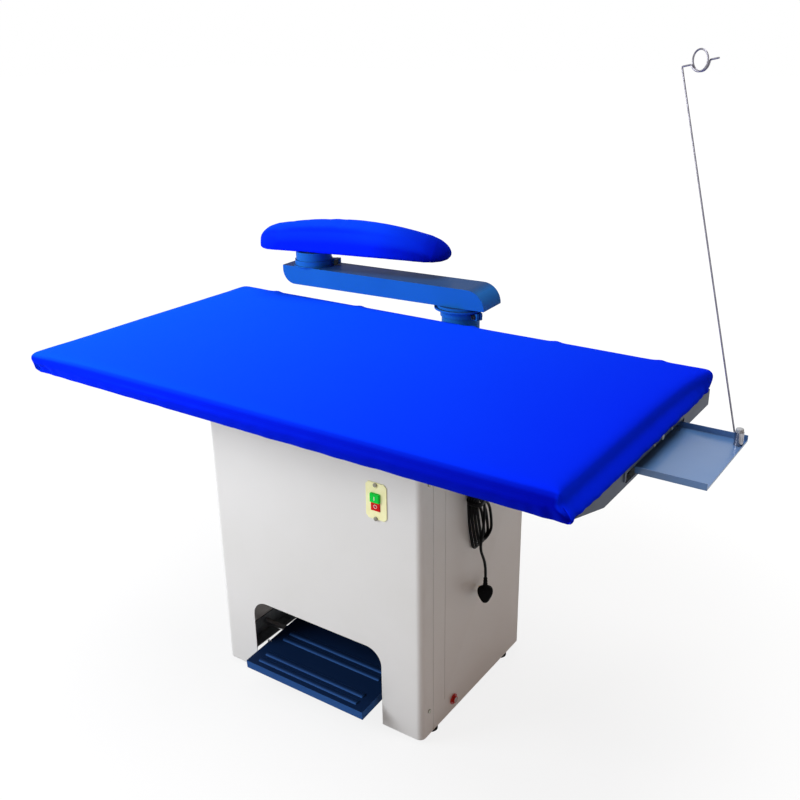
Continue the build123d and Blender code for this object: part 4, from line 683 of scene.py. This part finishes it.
# %% [markdown]
# Painted steel
#
# The cabinet, the tub, the arm and the tray are folded sheet steel under powder coat: dry paint that
# is melted on. It leaves the fine orange peel of a paint that never ran, with ripples about 2 mm
# across, and it is thin along folded edges, where it wears and catches the light. Colour, gloss
# and wear differ, so one function makes a coat from those values. A Bevel node gives the normal
# that a rounded edge would have, and where that leans away from the flat normal, there is an edge.

# %% Powder coats
COAT_EDGE = 0.0012


def powder_coat(name, paint, shade, worn_paint, roughness, coat, peel=0.00005, wear=0.35, shine=0.5):
    """Paint in two close tones, worn along its edges, with orange peel of this depth."""
    finish, tree, shader, place = new_finish(
        name, Roughness=roughness, Coat_Weight=coat, Coat_Roughness=0.22, Specular_IOR_Level=shine,
    )
    here = {"Vector": place}
    clouds = add(tree, "ShaderNodeTexNoise", {"Scale": 3.5, "Detail": 4}, here)
    patches = two_tones(tree, clouds, shade, paint, 0.3, 0.62)
    rounded = add(tree, "ShaderNodeBevel", {"samples": 4, "Radius": COAT_EDGE})
    flat = add(tree, "ShaderNodeNewGeometry").outputs["Normal"]
    lean = add(tree, "ShaderNodeVectorMath", {"operation": "DOT_PRODUCT"}, {0: rounded, 1: flat})
    at_edge = {"From Min": 0.995, "From Max": 0.80}
    worn = add(tree, "ShaderNodeMapRange", at_edge, {"Value": lean.outputs["Value"]})
    chips = add(tree, "ShaderNodeTexNoise", {"Scale": 34, "Detail": 3}, here)
    chipped = {"From Min": 0.42, "From Max": 0.68, "To Max": wear}
    rub = add(tree, "ShaderNodeMapRange", chipped, {"Value": chips})
    share = add(tree, "ShaderNodeMath", {"operation": "MULTIPLY", "use_clamp": True}, {0: worn, 1: rub})
    rubbed = {"data_type": "RGBA", 7: linear(worn_paint)}
    painted = add(tree, "ShaderNodeMix", rubbed, {"Factor": share, 6: patches})
    tree.links.new(painted.outputs[2], shader.inputs["Base Color"])
    smears = add(tree, "ShaderNodeTexNoise", {"Scale": 16, "Detail": 4}, here)
    gloss = {"To Min": roughness - 0.05, "To Max": roughness + 0.07}
    handled = add(tree, "ShaderNodeMapRange", gloss, {"Value": smears})
    tree.links.new(handled.outputs["Result"], shader.inputs["Roughness"])
    ripples = add(tree, "ShaderNodeTexNoise", {"Scale": 480, "Detail": 1}, here)
    relief_on(tree, shader, ripples, peel, 1.0, rounded)
    return finish


cabinet_coat = powder_coat(
    "powder_coat_light_grey", "E0DFDC", "DCDBD7", "C4C2BC", 0.42, 0.12, peel=0.00004, wear=0.25,
)
tub_coat = powder_coat("powder_coat_slate_grey", "505C70", "485468", "868B94", 0.5, 0.0, shine=0.2)
arm_coat = powder_coat("powder_coat_steel_blue", "2070C4", "1C68B8", "6F98CC", 0.42, 0.0, shine=0.03)
tray_coat = powder_coat("powder_coat_pale_blue", "4A74A8", "446CA0", "8FB0D0", 0.34, 0.5)
pedal_coat = powder_coat(
    "powder_coat_deep_blue", "2A5490", "264C86", "3A66A8", 0.5, 0.0, wear=0.2, shine=0.03,
)

# %% Painted shade on upper faces
def painted_top_shade(finish, shade_tone, low, high, most):
    """Paint shade on faces that look up: none below the low rise of the normal, most above the high one."""
    tree = finish.node_tree
    shader = shader_of(finish)
    paint = shader.inputs["Base Color"].links[0].from_socket
    turned = add(tree, "ShaderNodeNewGeometry").outputs["True Normal"]
    rise = add(tree, "ShaderNodeSeparateXYZ", None, {0: turned}).outputs["Z"]
    upper = {"From Min": low, "From Max": high, "To Max": most}
    share = add(tree, "ShaderNodeMapRange", upper, {"Value": rise})
    top_shaded = add(tree, "ShaderNodeMix", {"data_type": "RGBA", 7: linear(shade_tone)}, {"Factor": share, 6: paint})
    tree.links.new(top_shaded.outputs[2], shader.inputs["Base Color"])


# Painted shade: the pedal's upper face, under the board, is painted dark, which leaves its lip and the
# flanks of its ribs bright. The top of the arm, in the buck's shadow, is painted darker too.
painted_top_shade(pedal_coat, "0A1B38", 0.72, 0.95, 0.94)
painted_top_shade(arm_coat, "1C3860", 0.80, 1.0, 0.9)
print("coats:", [coat.name for coat in (cabinet_coat, tub_coat, arm_coat, tray_coat, pedal_coat)])

# %% [markdown]
# Bare metals
#
# Screws are zinc-plated, passivated yellow or blackened, the ducts are galvanised sheet, the rod's
# sleeve is chromed and the rod is drawn spring wire. Inside there are turned steel pins, bronze
# bushes, a spun aluminium impeller, and painted iron on the motor and the frames. They share a
# metallic shader and differ in colour, roughness and texture. Zinc on sheet grows in flat crystals
# called spangle, 10 to 20 mm across, which Voronoi cells draw well; turned and drawn metal has fine
# lines along or round it.

# %% Metals
METAL_EDGE = 0.0006


def bare_metal(name, tone, dull, rough_low, rough_high, grain, stretch=(1, 1, 1)):
    """Metal that is brighter and smoother where its marks are strong, with the marks drawn out."""
    finish, tree, shader, place = new_finish(name, Metallic=1.0, Roughness=rough_low)
    drawn = add(tree, "ShaderNodeMapping", {"Scale": stretch}, {"Vector": place})
    marks = add(tree, "ShaderNodeTexNoise", {"Scale": grain, "Detail": 3}, {"Vector": drawn})
    tree.links.new(two_tones(tree, marks, dull, tone, 0.3, 0.7), shader.inputs["Base Color"])
    gloss = add(tree, "ShaderNodeMapRange", {"To Min": rough_high, "To Max": rough_low}, {"Value": marks})
    tree.links.new(gloss.outputs["Result"], shader.inputs["Roughness"])
    rounded = add(tree, "ShaderNodeBevel", {"samples": 4, "Radius": METAL_EDGE})
    relief_on(tree, shader, marks, 0.00003, 0.6, rounded)
    return finish


chrome = bare_metal("bright_chrome_plate", "A6A6AC", "74747C", 0.12, 0.25, 300, (1, 1, 0.2))
spring_wire = bare_metal("drawn_spring_wire", "8E8C94", "68666E", 0.2, 0.35, 300, (1, 1, 0.2))
turned_steel = bare_metal("turned_steel", "B9BABC", "8E9094", 0.24, 0.42, 500, (1, 1, 5))
zinc_plate = bare_metal("yellow_zinc_plate", "E8E0C4", "C4BB9A", 0.28, 0.45, 220)
black_oxide = bare_metal("black_oxide_steel", "3E4248", "2A2D32", 0.4, 0.55, 260)
dull_zinc = bare_metal("dull_zinc_plate", "9C9A8C", "77756A", 0.3, 0.45, 220)
spun_aluminium = bare_metal("spun_aluminium", "D5D6D8", "AEB0B3", 0.25, 0.4, 260)
sintered_bronze = bare_metal("sintered_bronze", "B08A4E", "80602F", 0.38, 0.55, 900)
brass = bare_metal("brass", "E0C070", "B89648", 0.2, 0.35, 300)

# %% Galvanised sheet and painted iron
galvanised, tree, shader, place = new_finish("galvanised_sheet", Metallic=1.0, Roughness=0.4)
spangle = add(tree, "ShaderNodeTexVoronoi", {"Scale": 70, "Randomness": 1.0}, {"Vector": place})
grey = add(tree, "ShaderNodeRGBToBW", None, {"Color": spangle.outputs["Color"]})
tree.links.new(two_tones(tree, grey, "8D9296", "B4B8BB", 0.1, 0.9), shader.inputs["Base Color"])
facets = add(tree, "ShaderNodeMapRange", {"To Min": 0.3, "To Max": 0.5}, {"Value": grey})
tree.links.new(facets.outputs["Result"], shader.inputs["Roughness"])

cast_iron, tree, shader, place = new_finish("painted_cast_iron", Roughness=0.55)
blotches = add(tree, "ShaderNodeTexNoise", {"Scale": 60, "Detail": 4}, {"Vector": place})
tree.links.new(two_tones(tree, blotches, "5A5F63", "6E7377"), shader.inputs["Base Color"])
sand = add(tree, "ShaderNodeTexNoise", {"Scale": 320, "Detail": 4}, {"Vector": place})
relief_on(tree, shader, sand, 0.0004, 0.7)
print("materials so far:", len(bpy.data.materials))

# %% [markdown]
# Rubber and plastics
#
# The feet and the plug are matt black rubber, the lead is black PVC with a slight gloss, and the
# switch is moulded ABS: a cream plate with a green and a red button. The knob of the rod's sleeve is
# grey ABS, and the caps on the pedal's axle are dipped in red vinyl. Moulded plastic copies the
# fine spark-eroded grain of its mould, about 0.4 mm across, and shines along its rounded edges.

# %% Mouldings
MOULDED_EDGE = 0.0008


def moulding(name, tone, dull, roughness, grain, depth, **more):
    """Rubber or plastic in two close tones, with the grain of its mould."""
    finish, tree, shader, place = new_finish(name, Roughness=roughness, **more)
    speckle = add(tree, "ShaderNodeTexNoise", {"Scale": grain, "Detail": 2}, {"Vector": place})
    flow = add(tree, "ShaderNodeTexNoise", {"Scale": 40, "Detail": 3}, {"Vector": place})
    tree.links.new(two_tones(tree, flow, dull, tone), shader.inputs["Base Color"])
    rounded = add(tree, "ShaderNodeBevel", {"samples": 4, "Radius": MOULDED_EDGE})
    relief_on(tree, shader, speckle, depth, 0.7, rounded)
    return finish


foot_rubber = moulding("black_rubber", "080809", "050506", 0.7, 900, 0.0001, Specular_IOR_Level=0.04)
lead_pvc = moulding("black_pvc", "060607", "040405", 0.4, 1200, 0.00005, Specular_IOR_Level=0.06)
cream_abs = moulding("cream_abs", "FFFCC4", "FAF6B8", 0.38, 2500, 0.00003)
green_abs = moulding("green_abs", "00E048", "00D040", 0.3, 2500, 0.00002, Specular_IOR_Level=0.1)
red_abs = moulding("red_abs", "DC0410", "CC040C", 0.3, 2500, 0.00002, Specular_IOR_Level=0.1)
white_abs = moulding("white_abs", "F2F2EE", "E8E8E2", 0.35, 2500, 0.00002)
grey_abs = moulding("grey_abs", "A9ACAE", "9DA0A2", 0.45, 2500, 0.00003)
red_dip = moulding("red_dipped_vinyl", "C8281E", "B02018", 0.35, 700, 0.00005, Specular_IOR_Level=0.2)

# %% Steel middle of the axle caps
# The caps on the pedal's axle are red only round their rim. Their middle is bare steel.
STEEL_TO, VINYL_FROM = 0.0065, 0.0075
tree = red_dip.node_tree
shader = shader_of(red_dip)
vinyl = shader.inputs["Base Color"].links[0].from_socket
place = next(node for node in tree.nodes if node.type == "TEX_COORD").outputs["Object"]
caps_low, caps_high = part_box("pivot_caps")
axle = (caps_low + caps_high) / 2
flatten = {"operation": "MULTIPLY_ADD", 1: (0, 1, 1), 2: (0, -axle.y, -axle.z)}
radial = add(tree, "ShaderNodeVectorMath", flatten, {0: place})
reach = add(tree, "ShaderNodeVectorMath", {"operation": "LENGTH"}, {0: radial}).outputs["Value"]
rim_share = add(tree, "ShaderNodeMapRange", {"From Min": STEEL_TO, "From Max": VINYL_FROM}, {"Value": reach})
steel = {"data_type": "RGBA", 6: linear("B4B4B0")}
capped = add(tree, "ShaderNodeMix", steel, {"Factor": rim_share, 7: vinyl})
tree.links.new(capped.outputs[2], shader.inputs["Base Color"])

# %% Felt under the cover
felt, tree, shader, place = new_finish("grey_felt", Roughness=1.0, Specular_IOR_Level=0.1)
tufts = add(tree, "ShaderNodeTexNoise", {"Scale": 400, "Detail": 4}, {"Vector": place})
tree.links.new(two_tones(tree, tufts, "8C8C8A", "A6A6A2"), shader.inputs["Base Color"])
fibres = add(tree, "ShaderNodeTexNoise", {"Scale": 700, "Detail": 4}, {"Vector": place})
relief_on(tree, shader, fibres, 0.0008)
print("materials:", len(bpy.data.materials))

# %% Give every part its finish
finishes = {
    board_cloth: ["board_cover"],
    buck_cloth: ["buck_cover"],
    felt: ["foam_pad", "buck_pad"],
    cabinet_coat: ["front_panel", "left_side_panel", "right_side_panel", "rear_panel", "branch_duct"],
    tub_coat: ["suction_tub"],
    arm_coat: [
        "arm_body", "arm_collar", "neck_socket", "neck_pipe", "post_pipe", "post_clamp", "post_bracket",
    ],
    tray_coat: ["iron_tray"],
    pedal_coat: ["pedal_plate"],
    cast_iron: ["base_frame", "top_frame", "motor_body"],
    galvanised: [
        "perforated_deck", "tray_bay", "suction_duct", "damper_flap", "fan_housing", "fan_shelf",
        "buck_base",
    ],
    zinc_plate: ["deck_bolts", "slot_bolts", "buck_bolts", "cord_hook"],
    black_oxide: ["steel_bolts", "neck_bolts"],
    dull_zinc: ["panel_screws"],
    turned_steel: ["sleeve_pin", "pedal_axle", "pull_rod", "damper_spindle", "motor_shaft"],
    chrome: ["rod_sleeve"],
    spring_wire: ["balance_rod", "pedal_spring"],
    spun_aluminium: ["impeller"],
    sintered_bronze: ["pedal_bushes"],
    foot_rubber: ["rubber_feet"],
    lead_pvc: ["switch_body", "cord_inlet", "cord_drop", "cord_hank", "cord_tail", "plug"],
    cream_abs: ["switch_plate"],
    green_abs: ["green_button"],
    red_abs: ["red_button"],
    grey_abs: ["sleeve_knob"],
    red_dip: ["pivot_caps"],
    brass: ["plug_pins"],
}
own_pieces = {
    board_cloth: [board], buck_cloth: [buck], lead_pvc: [cord, tie], foot_rubber: [plug],
    white_abs: [mark_on, mark_off],
}
dressed = [(solids[name], finish) for finish, names in finishes.items() for name in names]
dressed += [(piece, finish) for finish, pieces in own_pieces.items() for piece in pieces]
for piece, finish in dressed:
    piece.data.materials.clear()
    piece.data.materials.append(finish)
given = {name for names in finishes.values() for name in names}
print("parts without a finish:", sorted(set(solids) - given))

# %% [markdown]
# Floor and light
#
# The table stands on a plain pale floor under studio light. One wide lamp in front, to the left of
# the camera, lights the cabinet's front; a soft one overhead lights the board; the side that faces
# right stays in shade. The world lights everything a little, warmer from the right, and rays from
# the camera or off shiny metal see it as plain white. The floor does the same, but near the table
# it keeps part of its own light, so that the table's shadow still shows on it.

# %% Floor
FLOOR_REACH = 30
SHADOW_REACH, WHITE_FROM = 0.7, 2.0


def seen_plainly(tree):
    """1 for rays from the camera, off gloss or through glass, and 0 for rays that carry light."""
    path = add(tree, "ShaderNodeLightPath").outputs
    rays = {0: path["Is Camera Ray"], 1: path["Is Glossy Ray"]}
    seen = add(tree, "ShaderNodeMath", {"operation": "MAXIMUM"}, rays)
    return add(tree, "ShaderNodeMath", {"operation": "MAXIMUM"}, {0: seen, 1: path["Is Transmission Ray"]})


mesh = bpy.data.meshes.new("floor")
square = [(x * FLOOR_REACH, y * FLOOR_REACH, 0) for x, y in ((-1, -1), (1, -1), (1, 1), (-1, 1))]
mesh.from_pydata(square, [], [(0, 1, 2, 3)])
floor = placed("floor", mesh)
pale, tree, shader, place = new_finish("pale_studio_floor", Roughness=0.9, Specular_IOR_Level=0.0)
shader.inputs["Base Color"].default_value = linear("C2C2C2")
glow = add(tree, "ShaderNodeEmission", {"Color": linear("FFFFFF"), "Strength": 1.06})
away = add(tree, "ShaderNodeVectorMath", {"operation": "LENGTH"}, {0: place}).outputs["Value"]
whiter = {"interpolation_type": "SMOOTHSTEP", "From Min": SHADOW_REACH, "From Max": WHITE_FROM}
share = add(tree, "ShaderNodeMapRange", whiter | {"To Min": 0.80, "To Max": 1.0}, {"Value": away})
dim = add(tree, "ShaderNodeMath", {"operation": "MULTIPLY"}, {0: seen_plainly(tree), 1: share})
surface = add(tree, "ShaderNodeMixShader", None, {0: dim, 1: shader, 2: glow})
output = next(node for node in tree.nodes if node.type == "OUTPUT_MATERIAL")
tree.links.new(surface.outputs[0], output.inputs["Surface"])
mesh.materials.append(pale)

# %% World
world = bpy.data.worlds.new("studio")
bpy.context.scene.world = world
world.use_nodes = True
tree = world.node_tree
tree.nodes.clear()
place = add(tree, "ShaderNodeTexCoord").outputs["Generated"]
sideways = add(tree, "ShaderNodeSeparateXYZ", None, {0: place}).outputs["X"]
room = two_tones(tree, sideways, "FFFFFF", "F0B080", 0.0, 0.6)
soft = add(tree, "ShaderNodeBackground", {"Strength": 0.26}, {"Color": room})
white = add(tree, "ShaderNodeBackground", {"Color": linear("FFFFFF"), "Strength": 1.0})
both = add(tree, "ShaderNodeMixShader", None, {0: seen_plainly(tree), 1: soft, 2: white})
add(tree, "ShaderNodeOutputWorld", None, {"Surface": both})

# %% Lamps
KEY_PLACE = Vector((-2.2, -2.3, 2.2))
KEY_AIM = Vector((0, 0, 0.7))


def lamp(name, kind, power, towards):
    """A lamp that shines from the direction towards."""
    light = bpy.data.lights.new(name, kind)
    light.energy = power
    holder = placed(name, light)
    holder.rotation_mode = "QUATERNION"
    holder.rotation_quaternion = Vector(towards).to_track_quat("Z", "Y")
    return holder


key = lamp("front_left_lamp", "AREA", 118, KEY_PLACE - KEY_AIM)
key.location = KEY_PLACE
key.data.size = 2.0
key.data.color = linear("F4F8FF")[:3]
overhead = lamp("overhead_lamp", "SUN", 2.1, (-0.15, 0.10, 1.0))
overhead.data.angle = math.radians(40)
print("lamps:", key.name, "and", overhead.name)
